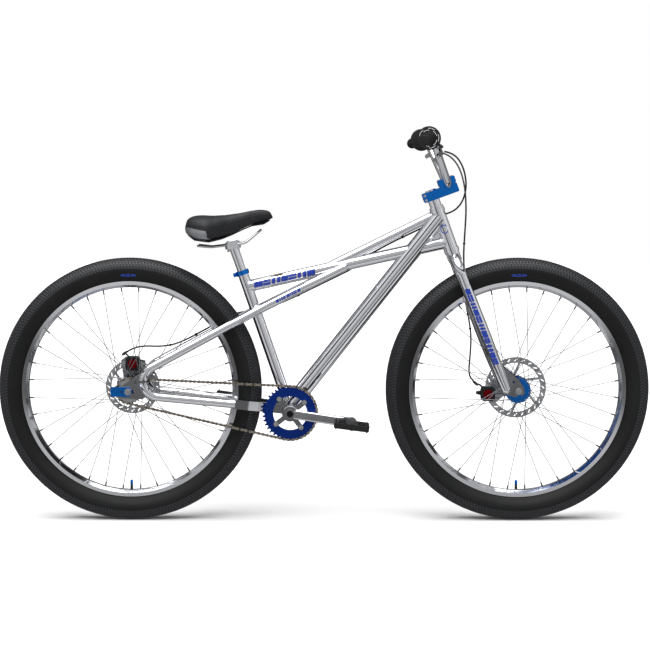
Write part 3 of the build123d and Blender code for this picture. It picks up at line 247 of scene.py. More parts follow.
def lathe(profile, place, axis, start, steps, closed=False):
    """Points and faces of a profile of (along, radius) turned about an axis through place."""
    axis = Vector(axis).normalized()
    first = (Vector(start) - axis * Vector(start).dot(axis)).normalized()
    second = axis.cross(first)
    points, faces = [], []
    count = len(profile)
    for k in range(steps):
        turn = 2 * pi * k / steps
        out = first * cos(turn) + second * sin(turn)
        points += [Vector(place) + axis * a + out * r for a, r in profile]
        for i in range(count - (0 if closed else 1)):
            a, b = k * count + i, k * count + (i + 1) % count
            c, d = (b + count) % (steps * count), (a + count) % (steps * count)
            faces.append((a, b, c, d))
    return points, faces


def arc3(p, q, r, steps):
    """Points on the circle through p, q and r, from p to r."""
    ax, ay, bx, by, cx, cy = *p, *q, *r
    d = 2 * (ax * (by - cy) + bx * (cy - ay) + cx * (ay - by))
    ux = ((ax * ax + ay * ay) * (by - cy) + (bx * bx + by * by) * (cy - ay) + (cx * cx + cy * cy) * (ay - by)) / d
    uy = ((ax * ax + ay * ay) * (cx - bx) + (bx * bx + by * by) * (ax - cx) + (cx * cx + cy * cy) * (bx - ax)) / d
    radius = sqrt((ax - ux) ** 2 + (ay - uy) ** 2)
    turns = [atan2(y - uy, x - ux) for x, y in (p, q, r)]
    for i in (1, 2):
        while turns[i] - turns[i - 1] > pi:
            turns[i] -= 2 * pi
        while turns[i] - turns[i - 1] < -pi:
            turns[i] += 2 * pi
    return [
        (ux + radius * cos(t), uy + radius * sin(t))
        for t in (turns[0] + (turns[2] - turns[0]) * k / steps for k in range(steps + 1))
    ]


def sweep(path, radius, sides=10, ripple=0.0, closed=False):
    """A round tube along a path, with its ends closed unless the path is."""
    points, faces = [], []
    count = len(path)
    up = Vector((0.1, 1, 0.2))
    for k, p in enumerate(path):
        before = path[k - 1] if closed or k else path[0]
        after = path[(k + 1) % count] if closed or k < count - 1 else path[-1]
        along = (Vector(after) - Vector(before)).normalized()
        up = (up - along * up.dot(along)).normalized()
        side = along.cross(up)
        r = radius * (1 + ripple * cos(k * pi / 2))
        points += [Vector(p) + (up * cos(t) + side * sin(t)) * r for t in (2 * pi * i / sides for i in range(sides))]
        if closed or k < count - 1:
            for i in range(sides):
                j = (i + 1) % sides
                base, far = k * sides, ((k + 1) % count) * sides
                faces.append((base + i, base + j, far + j, far + i))
    if not closed:
        faces += [tuple(range(sides)), tuple(range((count - 1) * sides, count * sides))]
    return points, faces


def join(*parts):
    """Several (points, faces) as one."""
    points, faces = [], []
    for p, f in parts:
        base = len(points)
        points += p
        faces += [tuple(i + base for i in face) for face in f]
    return points, faces


# ---- tyres: a smooth sidewall, and slanted tread blocks in rows that alternate
SHOULDER = (37.8, 368.0)
LOWER_ARC = arc3((20.0, 319.5), (42.0, 346.0), SHOULDER, 18)
UPPER_ARC = arc3(SHOULDER, (25.2, 380.0), (0.0, 386.0), 18)
SKIN = LOWER_ARC + UPPER_ARC[1:]
TREAD_STARTS = 356.0         # radius where the tread ends on the sidewall
TREAD_DEPTH = 1.5
TREAD_ROWS, TREAD_PITCHES = 8, 250


def skin_at(length, lift=0.0):
    """(side, radius) at a distance along the skin from the crown, lifted off it."""
    path = SKIN[::-1]
    sign = 1 if length >= 0 else -1
    left = abs(length)
    for (ax, ar), (bx, br) in zip(path, path[1:]):
        span = sqrt((bx - ax) ** 2 + (br - ar) ** 2)
        if left <= span or (bx, br) == path[-1]:
            share = min(left / span, 1)
            nx, nr = (ar - br) / span, (bx - ax) / span
            return sign * (ax + (bx - ax) * share + nx * lift), ar + (br - ar) * share + nr * lift
        left -= span


def on_wheel(side, radius, turn):
    return Vector((radius * sin(turn), side, radius * cos(turn)))


def patch(corners, low, high):
    """A thin block on the tyre over four (length, turn) corners."""
    points = []
    for lift in (low, high):
        for k, (length, turn) in enumerate(corners):
            side, radius = skin_at(length * (0.985 if lift == high else 1), lift)
            points.append(on_wheel(side, radius, turn))
    faces = [(4, 5, 6, 7)] + [(i, (i + 1) % 4, 4 + (i + 1) % 4, 4 + i) for i in range(4)]
    return points, faces


def tire_mesh():
    bead = [(17.0, 318.2), (17.0, 312.0), (15.2, 318.4), (18.0, 322.5)]
    outer = [(s, r - (TREAD_DEPTH if r > TREAD_STARTS else 0)) for s, r in SKIN]
    inner = [(s * 0.93, r - 3.0) for s, r in SKIN[3:]]
    half = outer[::-1] + bead + inner
    profile = half + [(-s, r) for s, r in half[::-1]]
    body = lathe(profile, (0, 0, 0), (0, 1, 0), (0, 0, 1), 240, closed=True)
    parts = [body]
    reach = 0.0
    while skin_at(reach)[1] > TREAD_STARTS:
        reach += 0.5
    step = 2 * pi / TREAD_PITCHES
    for row in range(-TREAD_ROWS, TREAD_ROWS):
        near, far = reach * row / TREAD_ROWS, reach * (row + 1) / TREAD_ROWS
        inset = 0.5
        slant = step * (0.42 if row % 2 else -0.42)
        for k in range(TREAD_PITCHES):
            turn = step * k + (step / 2 if abs(row) % 4 > 1 else 0)
            a, b = near + inset, far - inset
            parts.append(patch(
                [(a, turn), (b, turn + slant), (b, turn + slant + step * 0.62), (a, turn + step * 0.62)],
                -TREAD_DEPTH - 0.3, 0.0,
            ))
    return join(*parts), len(body[1])


def length_to(radius):
    """The distance from the crown, along the skin, to a radius on the sidewall."""
    length = 0.0
    while skin_at(length)[1] > radius:
        length += 0.25
    return length


def blue_marks():
    """A badge of five slanted bars at the top of each sidewall."""
    parts = []
    for side in (-1, 1):
        for centre, half in ((0, 0.018), (-0.036, 0.011), (0.036, 0.011), (-0.058, 0.006), (0.058, 0.006)):
            low, high = length_to(332 + abs(centre) * 30), length_to(340 - abs(centre) * 20)
            lean = 0.006 if centre > 0 else -0.006 if centre < 0 else 0
            parts.append(patch(
                [(side * high, centre - half + lean), (side * low, centre - half - lean),
                 (side * low, centre + half - lean), (side * high, centre + half + lean)], -0.2, 0.25,
            ))
    return parts


def raised_bars():
    """Two groups of moulded bars at the foot of each sidewall."""
    parts = []
    low, high = length_to(331), length_to(347)
    for side in (-1, 1):
        for group in (-0.42, 0.42):
            for k in range(9):
                turn = pi + group + (k - 4) * 0.052
                width = 0.016 if k % 3 else 0.021
                parts.append(patch(
                    [(side * high, turn - width), (side * low, turn - width * 0.7),
                     (side * low, turn + width * 0.7), (side * high, turn + width)], -0.2, 0.45,
                ))
    return parts


rubber = Look("tyre_rubber", "#101113", 0.0, 0.6, Specular_IOR_Level=0.28)
rubber.bump(rubber.noise(700, 3), 0.0001, 0.5)
rubber.set(rubber.shader, "Base Color", rubber.mix(
    rubber.spread(rubber.noise(9, 4), 0.35, 0.7, 0.0, 1.0), linear("#08090a"), linear("#0f1011")))
block_rubber = Look("tread_block_rubber", "#232428", 0.0, 0.5)
block_rubber.bump(block_rubber.noise(900, 3), 0.0001, 0.5)
VALVE_CAP = [(0, 0), (0, 3.6), (1.5, 4.2), (11, 4.0), (13.5, 2.6), (14, 0)]
VALVE_CAP_Z = 101.5


def add_tyre(end, x, shared):
    """One wheel's tyre with its marks and its valve cap. Both wheels share the tread's mesh."""
    if shared is None:
        (points, faces), casing_faces = tire_mesh()
        tyre = mesh_piece(f"{end}_tyre", points, faces)
        shared = tyre.data
        shared.materials.append(rubber.material)
        shared.materials.append(block_rubber.material)
        shared.polygons.foreach_set("material_index", [int(k >= casing_faces) for k in range(len(shared.polygons))])
    else:
        tyre = bpy.data.objects.new(f"{end}_tyre", shared)
        scene.collection.objects.link(tyre)
    tyre.location = V(x, 0, AXLE_Z)
    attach(tyre, f"{end}_wheel")
    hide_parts(f"{end}_tire")
    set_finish(tyre, "tire_rubber")

    for suffix, parts, look in (
        ("blue_marks", blue_marks(), blue_print), ("raised_bars", raised_bars(), rubber),
    ):
        marks = mesh_piece(f"{end}_{suffix}", *join(*parts), smooth=False)
        marks.location = V(x, 0, AXLE_Z)
        finish_piece(marks, look, f"{end}_wheel", "tire_rubber")

    cap = mesh_piece(f"{end}_valve_cap", *lathe(VALVE_CAP, (x, 0, VALVE_CAP_Z), (0, 0, 1), (1, 0, 0), 24))
    finish_piece(cap, blue_metal, f"{end}_wheel", "blue_anodised")
    return shared


tyre_data = add_tyre("front", FRONT_X, None)
add_tyre("rear", REAR_X, tyre_data)

# ---- chain: pins, inner plates and outer plates round both toothed wheels
PITCH = 12.7
RING_TEETH, SPROCKET_TEETH = 39, 18
RING_PITCH, SPROCKET_PITCH = PITCH / 2 / sin(pi / RING_TEETH), PITCH / 2 / sin(pi / SPROCKET_TEETH)
CHAIN_Y = -54.0
apart = Vector((REAR_X - SHELL[0], AXLE_Z - SHELL[1]))
lean = atan2(apart.y, apart.x)
half_wrap = asin((RING_PITCH - SPROCKET_PITCH) / apart.length)
straight = sqrt(apart.length ** 2 - (RING_PITCH - SPROCKET_PITCH) ** 2)


def chain_point(length):
    """A point that far round the chain, in the wheels' plane."""
    above, below = lean - pi / 2 + half_wrap, lean + pi / 2 - half_wrap
    ring_arc = (pi + 2 * half_wrap) * RING_PITCH
    small_arc = (pi - 2 * half_wrap) * SPROCKET_PITCH
    if length < ring_arc:
        turn = below + length / RING_PITCH
        return Vector((SHELL[0] + RING_PITCH * cos(turn), SHELL[1] + RING_PITCH * sin(turn)))
    length -= ring_arc
    if length < straight:
        share = length / straight
        a = Vector((SHELL[0] + RING_PITCH * cos(above), SHELL[1] + RING_PITCH * sin(above)))
        b = Vector((REAR_X + SPROCKET_PITCH * cos(above), AXLE_Z + SPROCKET_PITCH * sin(above)))
        return a + (b - a) * share
    length -= straight
    if length < small_arc:
        turn = above + length / SPROCKET_PITCH
        return Vector((REAR_X + SPROCKET_PITCH * cos(turn), AXLE_Z + SPROCKET_PITCH * sin(turn)))
    share = (length - small_arc) / straight
    a = Vector((REAR_X + SPROCKET_PITCH * cos(below), AXLE_Z + SPROCKET_PITCH * sin(below)))
    b = Vector((SHELL[0] + RING_PITCH * cos(below), SHELL[1] + RING_PITCH * sin(below)))
    return a + (b - a) * share


chain_length = (pi + 2 * half_wrap) * RING_PITCH + (pi - 2 * half_wrap) * SPROCKET_PITCH + 2 * straight
link_count = 2 * round(chain_length / PITCH / 2)


PLATE_END, PLATE_WAIST = 4.1, 2.1
PIN = [(-4.3, 0), (-4.3, 1.7), (-2.75, 1.8), (-1.7, 1.8), (-1.7, 3.8), (1.7, 3.8), (1.7, 1.8), (2.75, 1.8),
       (4.3, 1.7), (4.3, 0)]


def plate(a, b, near, far):
    """A waisted side plate between two pins, from side near to side far."""
    along = (b - a).normalized()
    up = Vector((-along.y, along.x))
    middle = (a + b) / 2
    outline = []
    for pin, start, waist in ((a, pi / 2, -PLATE_WAIST), (b, -pi / 2, PLATE_WAIST)):
        for k in range(7):
            turn = start + pi * k / 6
            outline.append(pin + along * (PLATE_END * cos(turn)) + up * (PLATE_END * sin(turn)))
        outline.append(middle + up * waist)
    count = len(outline)
    points = [Vector((p.x, y, p.y)) for y in (near, far) for p in outline]
    faces = [tuple(range(count)), tuple(range(count, 2 * count))]
    faces += [(i, (i + 1) % count, count + (i + 1) % count, count + i) for i in range(count)]
    return points, faces


def add_chain():
    """Inner links with the pins, and outer links, by turns round the whole chain."""
    inner_links, outer_links = [], []
    for k in range(link_count):
        a = chain_point(chain_length * k / link_count)
        b = chain_point(chain_length * (k + 1) / link_count)
        near, far = (1.8, 2.7) if k % 2 else (2.8, 3.7)
        group = inner_links if k % 2 else outer_links
        group += [plate(a, b, CHAIN_Y + s * near, CHAIN_Y + s * far) for s in (-1, 1)]
        inner_links.append(lathe(PIN, (a.x, CHAIN_Y, a.y), (0, 1, 0), (1, 0, 0), 10))
    finish_piece(mesh_piece("chain_inner_links", *join(*inner_links)), chain_inner, "frame", "chain_steel", ["chain"])
    finish_piece(mesh_piece("chain_outer_links", *join(*outer_links)), chain_metal, "frame", "chain_steel")


add_chain()

# ---- saddle: a padded cover, a lacquered trim plate and two seams
TAIL, SADDLE_LENGTH = -404.92, 256
RING_POINTS = 33
TRIM_END, TRIM_TAPERS = 92, 70       # how far forward the trim plate runs, and where it starts to taper
OUTLINE = ((0, 0.0), (5, 32.0), (22, 62.4), (62, 80.0), (95, 65.0), (128, 41.6), (165, 28.5), (200, 21.6),
           (235, 18.0), (250, 12.0), (256, 0.0))
UNDER = ((0, 858), (5, 846), (32, 828), (74, 823), (112, 832), (140, 843), (172, 858), (196, 868), (232, 875),
         (256, 888))
OVER = ((0, 862), (8, 884), (34, 895), (90, 895), (150, 902), (190, 910.5), (222, 913.5), (247, 907), (256, 892))


def through(table, at):
    """A smooth value between the rows of a table."""
    for k in range(len(table) - 1):
        (x0, y0), (x1, y1) = table[k], table[k + 1]
        if at <= x1:
            share = (at - x0) / (x1 - x0)
            before = table[max(k - 1, 0)]
            after = table[min(k + 2, len(table) - 1)]
            m0 = (y1 - before[1]) / (x1 - before[0]) * (x1 - x0)
            m1 = (after[1] - y0) / (after[0] - x0) * (x1 - x0)
            s2, s3 = share * share, share ** 3
            return (2 * s3 - 3 * s2 + 1) * y0 + (s3 - 2 * s2 + share) * m0 + (3 * s2 - 2 * s3) * y1 + (s3 - s2) * m1
    return table[-1][1]


def saddle_ring(at):
    """One cross-section of the saddle, from under one edge over the top to the other."""
    half, low, high = max(through(OUTLINE, at), 0.6), through(UNDER, at), through(OVER, at)
    ring = []
    for k in range(RING_POINTS):
        turn = -0.62 + (pi + 1.24) * k / (RING_POINTS - 1)
        c, s = cos(turn), sin(turn)
        side = half * (abs(c) ** 0.75) * (1 if c > 0 else -1)
        if s < 0:
            height = low + (high - low) * 0.16 * (1 + s * 1.6)
            side *= 1 - 0.10 * abs(s)
        else:
            channel = 3.0 * max(0, 1 - (side / 13) ** 2) * max(0, 1 - ((at - 130) / 130) ** 2)
            height = low + (high - low) * (0.16 + 0.84 * s ** 0.62) - channel
        ring.append(Vector((TAIL + at, side, height)))
    return ring


def add_saddle_cover(rings):
    faces = []
    for k in range(len(rings) - 1):
        for i in range(RING_POINTS):
            j = (i + 1) % RING_POINTS
            near, far = k * RING_POINTS, (k + 1) * RING_POINTS
            faces.append((near + i, near + j, far + j, far + i))
    last = (len(rings) - 1) * RING_POINTS
    faces += [tuple(range(RING_POINTS)), tuple(range(last, last + RING_POINTS))]
    cover = mesh_piece("saddle_cover", [p for ring in rings for p in ring], faces)
    finish_piece(cover, cover_fabric, "seat", "saddle_cover", ["saddle"])


def add_saddle_trim(rings):
    """The plate round the tail's lower edge, which tapers away forward."""
    rows = [k for k, at in enumerate(stations) if at < TRIM_END]
    parts = []
    for order in (range(0, 7), range(32, 25, -1)):
        points, faces = [], []
        for k in rows:
            at, ring = stations[k], rings[k]
            middle = Vector((TAIL + at, 0, (through(UNDER, at) + through(OVER, at)) / 2))
            share = 1 if at < TRIM_TAPERS else (TRIM_END - at) / (TRIM_END - TRIM_TAPERS)
            for n, i in enumerate(order):
                away = ring[i] - middle
                out = away.normalized() if away.length > 1 else Vector((-1, 0, 0))
                foot, lift = ring[order[0]], 0.9 if n < 6 else -0.4
                points.append(foot + (ring[i] - foot) * share + out * lift + Vector((-0.5, 0, -0.3)))
        for row in range(len(rows) - 1):
            for n in range(6):
                base = row * 7 + n
                faces.append((base, base + 1, base + 8, base + 7))
        parts.append((points, faces))
    finish_piece(mesh_piece("saddle_trim_plate", *join(*parts)), silver_trim, "seat", "saddle_trim")


def add_saddle_seams(rings):
    seams = []
    for side, index in ((1, 7), (-1, 25)):
        path = [rings[k][index] + Vector((0, side * 0.25, 0.25)) for k in range(5, 50)]
        seams.append(sweep(path, 0.8, 6, ripple=0.35))
    finish_piece(mesh_piece("saddle_seams", *join(*seams)), cover_fabric, "seat", "saddle_cover")


stations = [SADDLE_LENGTH * (0.5 - 0.5 * cos(pi * k / 56)) for k in range(57)]
stations[0], stations[-1] = 0.8, SADDLE_LENGTH - 0.8
saddle_rings = [saddle_ring(at) for at in stations]
add_saddle_cover(saddle_rings)
add_saddle_trim(saddle_rings)
add_saddle_seams(saddle_rings)

# ---- grips: ribbed sleeves with a wide inner flange and a rounded end
BAR_CORNER, BAR_SWEEP, BAR_HALF = 178.0, 0.2, 365.0
GRIP_LENGTH = 130
BAR_CLAMP, BAR_RISE, BAR_LEAN = (53.0, 633.0), 148.0, radians(2.0)


def on_bar(side, rise, back=0.0):
    """A point on the handlebar: to the left, up the risers, and back along the grips."""
    fore = BAR_CLAMP[0] - rise * sin(BAR_LEAN) - back * cos(BAR_LEAN)
    up = BAR_CLAMP[1] + rise * cos(BAR_LEAN) - back * sin(BAR_LEAN)
    return on_fork(fore, side, up)


def on_grip(side, out):
    return on_bar(side * out, BAR_RISE, (out - BAR_CORNER) * BAR_SWEEP)


def grip_profile(length):
    """(along, radius) of a grip: its flange, its ribs and its rounded end."""
    profile = [(0, 11.5), (0, 31), (0.8, 33.2), (2.4, 33.4), (3.4, 32), (4.2, 26), (4.8, 20), (6, 17)]
    at = 9.0
    while at < length - 14:
        profile += [(at, 15.9), (at + 1.3, 15.9), (at + 1.6, 14.7), (at + 2.9, 14.7)]
        at += 3.2
    return profile + [(length - 12, 15.9), (length - 3, 15.9), (length - 0.6, 14.6), (length, 12), (length, 0)]


def flange_rings(root, axis):
    """Two broken white rings printed on a grip's flange."""
    first = (Vector((0, 0, 1)) - axis * axis.z).normalized()
    second = axis.cross(first)
    rings = []
    for radius, along, shift in ((22.5, 5.0, 0), (27.5, 4.0, 0.5)):
        for k in range(5):
            start = 2 * pi * (k + shift) / 5
            turns = [start + 0.09 * i for i in range(9)]
            path = [root + axis * along + (first * cos(t) + second * sin(t)) * radius for t in turns]
            rings.append(sweep(path, 0.8, 6))
    return rings


def add_grips():
    sleeves, printed = [], []
    for side in (-1, 1):
        root, tip = on_grip(side, BAR_HALF - GRIP_LENGTH), on_grip(side, BAR_HALF)
        length = (tip - root).length
        axis = (tip - root) / length
        sleeves.append(lathe(grip_profile(length), root, axis, (0, 0, 1), 64))
        printed += flange_rings(root, axis)
    finish_piece(mesh_piece("grip_sleeves", *join(*sleeves)), black_rubber, "steering", "black_rubber", ["grips"])
    white_mark = plastic("white_print", "#d9dadc", 0.5)
    finish_piece(mesh_piece("grip_rings", *join(*printed)), white_mark, "steering", "black_rubber")


add_grips()

# ---- brake cables, through the same points as their housings on the frame
REAR_CABLE = [
    (344, 29, 895), (318, 30, 877), (285, 20, 857), (250, 8, 841), (213, 3, 824), (160, 8, 796), (112, 23, 767),
    (84, 24, 738), (48, 22, 720.5), (-42, 30, 676), (-108, 31, 644), (-150, 42, 627.5), (-190, 52, 614),
    (-225, 61, 610), (-262, 64, 604.5), (-330, 65, 567.5), (-430, 71, 513), (-485, 74, 503), (-536, 71, 506),
    (-573, 66, 498), (-598, 77, 480),
]
LOOP_CABLE = [
    (341, -186, 1080), (368, -160, 1076), (398, -120, 1040), (412, -72, 985), (405, -30, 940), (388, 4, 914),
    (368, 23, 902), (346.5, 28.4, 895.8),
]
FRONT_CABLE = [
    (341, 186, 1080), (368, 162, 1077), (400, 120, 1043), (416, 76, 985), (419, 42, 915), (414, 26, 845),
    (411, 30, 790), (414, 64, 749), (420, 84, 716), (418, 89, 676), (421, 88, 636), (432, 76, 580),
    (438, 68, 533), (434, 62, 470), (430, 60, 430), (437, 58, 408), (455, 58, 392),
]


def cable(name, route):
    """A smooth cable housing through given points."""
    curve = bpy.data.curves.new(name, "CURVE")
    curve.dimensions = "3D"
    curve.bevel_depth = 0.0025
    curve.bevel_resolution = 4
    curve.use_fill_caps = True
    spline = curve.splines.new("NURBS")
    spline.points.add(len(route) - 1)
    for point, place in zip(spline.points, route):
        point.co = (*V(*place), 1)
    spline.order_u = 3
    spline.use_endpoint_u = True
    spline.resolution_u = 12
    piece = bpy.data.objects.new(name, curve)
    scene.collection.objects.link(piece)
    return piece


finish_piece(cable("rear_cable", REAR_CABLE), cable_jacket, "frame", "black_plastic", ["rear_brake_cable"])
finish_piece(cable("front_cable", FRONT_CABLE), cable_jacket, "steering", "black_plastic", ["front_brake_cable"])


def add_cable_turn():
    """The free run from the right lever down to the frame."""
    curve = cable("loop_curve", LOOP_CABLE)
    bpy.context.view_layer.update()
    data = bpy.data.meshes.new_from_object(curve.evaluated_get(bpy.context.evaluated_depsgraph_get()))
    bpy.data.objects.remove(curve)
    turn = bpy.data.objects.new("rear_cable_turn", data)
    scene.collection.objects.link(turn)
    turn.data.materials.append(cable_jacket.material)
    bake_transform(turn)
    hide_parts("rear_cable_loop")
    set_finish(turn, "black_plastic")


add_cable_turn()


TIE_RADIUS = 3.0


def zip_tie(name, centre, axis, radius, body):
    """A flat nylon band."""
    band = [(-1.6, radius), (1.6, radius), (1.6, radius + 1.1), (-1.6, radius + 1.1)]
    finish_piece(
        mesh_piece(name, *lathe(band, centre, axis, (0, 1, 0.1), 32, closed=True)),
        black_plastic, body, "black_plastic",
    )


for k, point in enumerate((5, 9, 15, 16)):
    start, stop = Vector(REAR_CABLE[point]), Vector(REAR_CABLE[point + 1])
    zip_tie(f"cable_tie_{k}", (start + stop) / 2, stop - start, TIE_RADIUS, "frame")
zip_tie("front_tie_low", Vector((434.5, 72, 558)), (0.1, -0.17, -1), TIE_RADIUS, "steering")
zip_tie("front_tie_high", Vector((412, 28, 812)), (-0.05, 0.05, -1), TIE_RADIUS, "steering")


# ---- each brake's cable stop: a bracket, a knurled adjuster and the wire's end on the arm
BARREL = [(-14, 2.7), (-14, 3.6), (-9, 3.8), (-8, 4.6), (-7, 4.2), (-6, 4.6), (-5, 4.2), (-4, 4.6), (-3, 4.2),
          (-2, 4.6), (0, 3.6), (4, 3.4), (4, 2.0), (0, 2.7)]
WIRE_END = Vector((0, 0, 3))         # short, so that it stays clear of the adjuster when the arm is pulled


def add_cable_stop(end, body, arm, before, stop, root, bend, hook):
    """The stop is where the housing ends, before is the housing's last bend, and hook is on the arm."""
    along = (Vector(stop) - Vector(before)).normalized()
    barrel = mesh_piece(f"{end}_adjuster", *lathe(BARREL, stop, along, (0, 1, 0), 24, closed=True))
    finish_piece(barrel, black_metal, body, "black_metal")
    bracket = mesh_piece(f"{end}_cable_bracket", *sweep([root, bend, Vector(stop) - along * 2], 2.8, 10))
    finish_piece(bracket, black_metal, body, "black_metal")
    wire = mesh_piece(f"{end}_brake_wire", *sweep([hook, Vector(hook) + WIRE_END], 0.75, 8))
    finish_piece(wire, steel, arm, "steel")


add_cable_stop("front", "steering", "front_arm", FRONT_CABLE[-2], FRONT_CABLE[-1],
               (470, 47, 386), (462, 51, 393), (452, 58, 374))
add_cable_stop("rear", "frame", "rear_arm", REAR_CABLE[-2], REAR_CABLE[-1],
               (-580, 62, 474), (-590, 70, 483), (-601, 77, 462))


# ---- printed marks on the tubes: slanted bars, laid on the tube's skin
def tube_marks(name, start, end, radius, facing, bars, body):
    """Bars as (from, to, low, high, lean) in millimetres along the tube and round it."""
    start, end = Vector(start), Vector(end)
    along = (end - start).normalized()
    out = (Vector(facing) - along * Vector(facing).dot(along)).normalized()
    up = along.cross(out)
    if up.z < 0 or (abs(up.z) < 0.3 and up.x < 0):
        up = -up
    parts = []
    for a, b, low, high, slant in bars:
        points, faces = [], []
        for i in range(9):
            turn = (low + (high - low) * i / 8) / radius
            shift = slant * i / 8
            for length in (a + shift, b + shift):
                points.append(start + along * length + (out * cos(turn) + up * sin(turn)) * (radius + 0.2))
        for i in range(8):
            faces.append((2 * i, 2 * i + 1, 2 * i + 3, 2 * i + 2))
        parts.append((points, faces))
    marks = mesh_piece(name, *join(*parts))
    return finish_piece(marks, blue_print, body, "blue_anodised")


def block_row(start, widths, low, high, slant, gap=2.4):
    """A row of slanted blocks of different widths, two of every three cut by a notch."""
    rows = []
    for k, width in enumerate(widths):
        middle = (low + high) / 2
        if k % 3 == 0:
            rows.append((start, start + width, low, high, slant))
        elif k % 3 == 1:
            rows.append((start, start + width, middle + 0.9, high, slant / 2))
            rows.append((start - slant / 2, start + width - slant / 2, low, middle - 0.9, slant / 2))
        else:
            rows.append((start, start + width * 0.4, low, high, slant))
            rows.append((start + width * 0.6, start + width, low, high, slant))
        start += width + gap
    return rows


seat_point = Vector((SHELL[0], 0, SHELL[1])) + SEAT_UP * 388
head_point = on_fork(0, 0, 475.5)
for side, name in ((-1, "right"), (1, "left")):
    tube_marks(
        f"top_tube_marks_{name}", seat_point, head_point, 17.4, (0, side, 0),
        block_row(20, (26, 22, 26, 20, 24, 26, 24), -8, 9, 3), "frame",
    )
    tube_marks(
        f"stay_marks_{name}", (-42, side * 30, 694.9), (-195.7, side * 27.8, 617.9), 12.7, (0, side, 0),
        block_row(30, (9, 11, 9, 10, 9, 11, 9), -5, 5, -2, 1.8), "frame",
    )

for side, name in ((-1, "right"), (1, "left")):
    tube_marks(
        f"fork_marks_{name}", (415.4, side * 65.5, 681.8), (483.7, side * 65.2, 509.1), 17.9, (0, side, 0),
        block_row(-6, (17, 21, 17, 19, 21, 17, 21, 17, 21, 17, 19), -7, 8, 3, 3), "steering",
    )

HEAD_SKIN = 20.7                     # just off the head tube's skin


def head_mark(side):
    """An open ring on one side of the head tube."""
    path = []
    for k in range(25):
        turn = 0.5 + (5.6 - 0.5) * k / 24
        around, up = 10.5 * cos(turn) / HEAD_SKIN, 516 + 12.5 * sin(turn)
        out = STEER_FORE * (HEAD_SKIN * sin(around)) + Vector((0, side * HEAD_SKIN * cos(around), 0))
        path.append(on_fork(0, 0, up) + out)
    return sweep(path, 1.5, 6)


finish_piece(mesh_piece("head_mark", *join(head_mark(-1), head_mark(1))), blue_print, "frame", "blue_anodised")


# ---- weld beads where one tube meets another
def weld(a_from, a_to, a_radius, b_from, b_to, b_radius, bead=1.9):
    """The bead where tube a, coming from a_from, lands on tube b."""
    a_from, a_to, b_from = Vector(a_from), Vector(a_to), Vector(b_from)
    along = (a_to - a_from).normalized()
    b_axis = (Vector(b_to) - b_from).normalized()
    side = along.cross(b_axis).normalized()
    up = side.cross(along)
    path = []
    for k in range(96):
        turn = 2 * pi * k / 96
        base = a_from + (side * cos(turn) + up * sin(turn)) * a_radius
        off = base - b_from
        d = along - b_axis * along.dot(b_axis)
        e = off - b_axis * off.dot(b_axis)
        a, b, c = d.dot(d), 2 * d.dot(e), e.dot(e) - b_radius ** 2
        inside = b * b - 4 * a * c
        if inside >= 0:
            path.append(base + along * ((-b - sqrt(inside)) / (2 * a)))
    return sweep(path, bead, 8, ripple=0.16, closed=True)


shell_low, shell_high = (SHELL[0], -36, SHELL[1]), (SHELL[0], 36, SHELL[1])
shell_centre = Vector((SHELL[0], 0, SHELL[1]))
head_low, head_high = on_fork(0, 0, 456), on_fork(0, 0, 568)
down_top = on_fork(0, 0, 552.5)
seat_top = shell_centre + SEAT_UP * 438
beads = [
    weld(shell_centre, down_top, 23.8, head_low, head_high, 20.5, 2.2),
    weld(seat_point, head_point, 17.4, head_low, head_high, 20.5),
    weld(head_point, seat_point, 17.4, shell_centre, seat_top, 15.9),
    weld(seat_top, shell_centre, 15.9, shell_low, shell_high, 20.8),
]
finish_piece(mesh_piece("weld_beads", *join(*beads)), brushed, "frame", "polished_aluminium")

# ---- the CAD's own pieces take their finish from their slots
FINISH = {
    "polished_aluminium": polished, "blue_anodised": blue_metal, "blue_ring": navy_metal,
    "black_metal": black_metal, "steel": steel, "chain_steel": chain_metal, "black_plastic": black_plastic,
    "black_rubber": black_rubber, "tire_rubber": tube_rubber, "saddle_cover": cover_fabric,
    "saddle_trim": silver_trim,
}
for piece in bpy.data.objects:
    if piece.type == "MESH" and piece.get("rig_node", piece.name) and not piece.get("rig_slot"):
        for held in piece.material_slots:
            name = held.material.name.split(".")[0] if held.material else ""
            if name in FINISH:
                held.material = FINISH[name].material


def give_finish(node, look):
    """A finish of its own for one of the CAD's pieces."""
    for held in bpy.data.objects[node].material_slots:
        held.material = look.material


def finish_brake(end, x, z, knob_face):
    """A black brake body, red on the round adjusting knob that stands out past knob_face."""
    look = plastic(f"{end}_brake_body", "#141518", 0.4)
    at, far = from_axis(look, x, z)
    inside = look.math("LESS_THAN", far, KNOB_RADIUS / 1000)
    outer = look.math("LESS_THAN", at.outputs[1], knob_face / 1000)
    red = look.math("MULTIPLY", inside, outer)
    look.set(look.shader, "Base Color", look.mix(red, linear("#141518"), linear("#7d0f14")))
    look.set(look.shader, "Metallic", red)
    give_finish(f"{end}_caliper", look)


def finish_cranks():
    """Polished arms with black caps over the spindle's ends."""
    look = metal("polished_crank", "#e4e5e9", 0.06, 0.05)
    at, far = from_axis(look, *SHELL)
    paint_black(look, "#e4e5e9", look.math("LESS_THAN", far, CRANK_CAP_RADIUS / 1000))
    give_finish("crank_arms", look)


def finish_spokes(end, x):
    """Bright spokes with black nipples at the rim."""
    look = metal(f"{end}_spoke_steel", "#8e9094", 0.25)
    at, far = from_axis(look, x, AXLE_Z)
    paint_black(look, "#8e9094", look.math("GREATER_THAN", far, NIPPLES_START / 1000))
    give_finish(f"{end}_spokes", look)


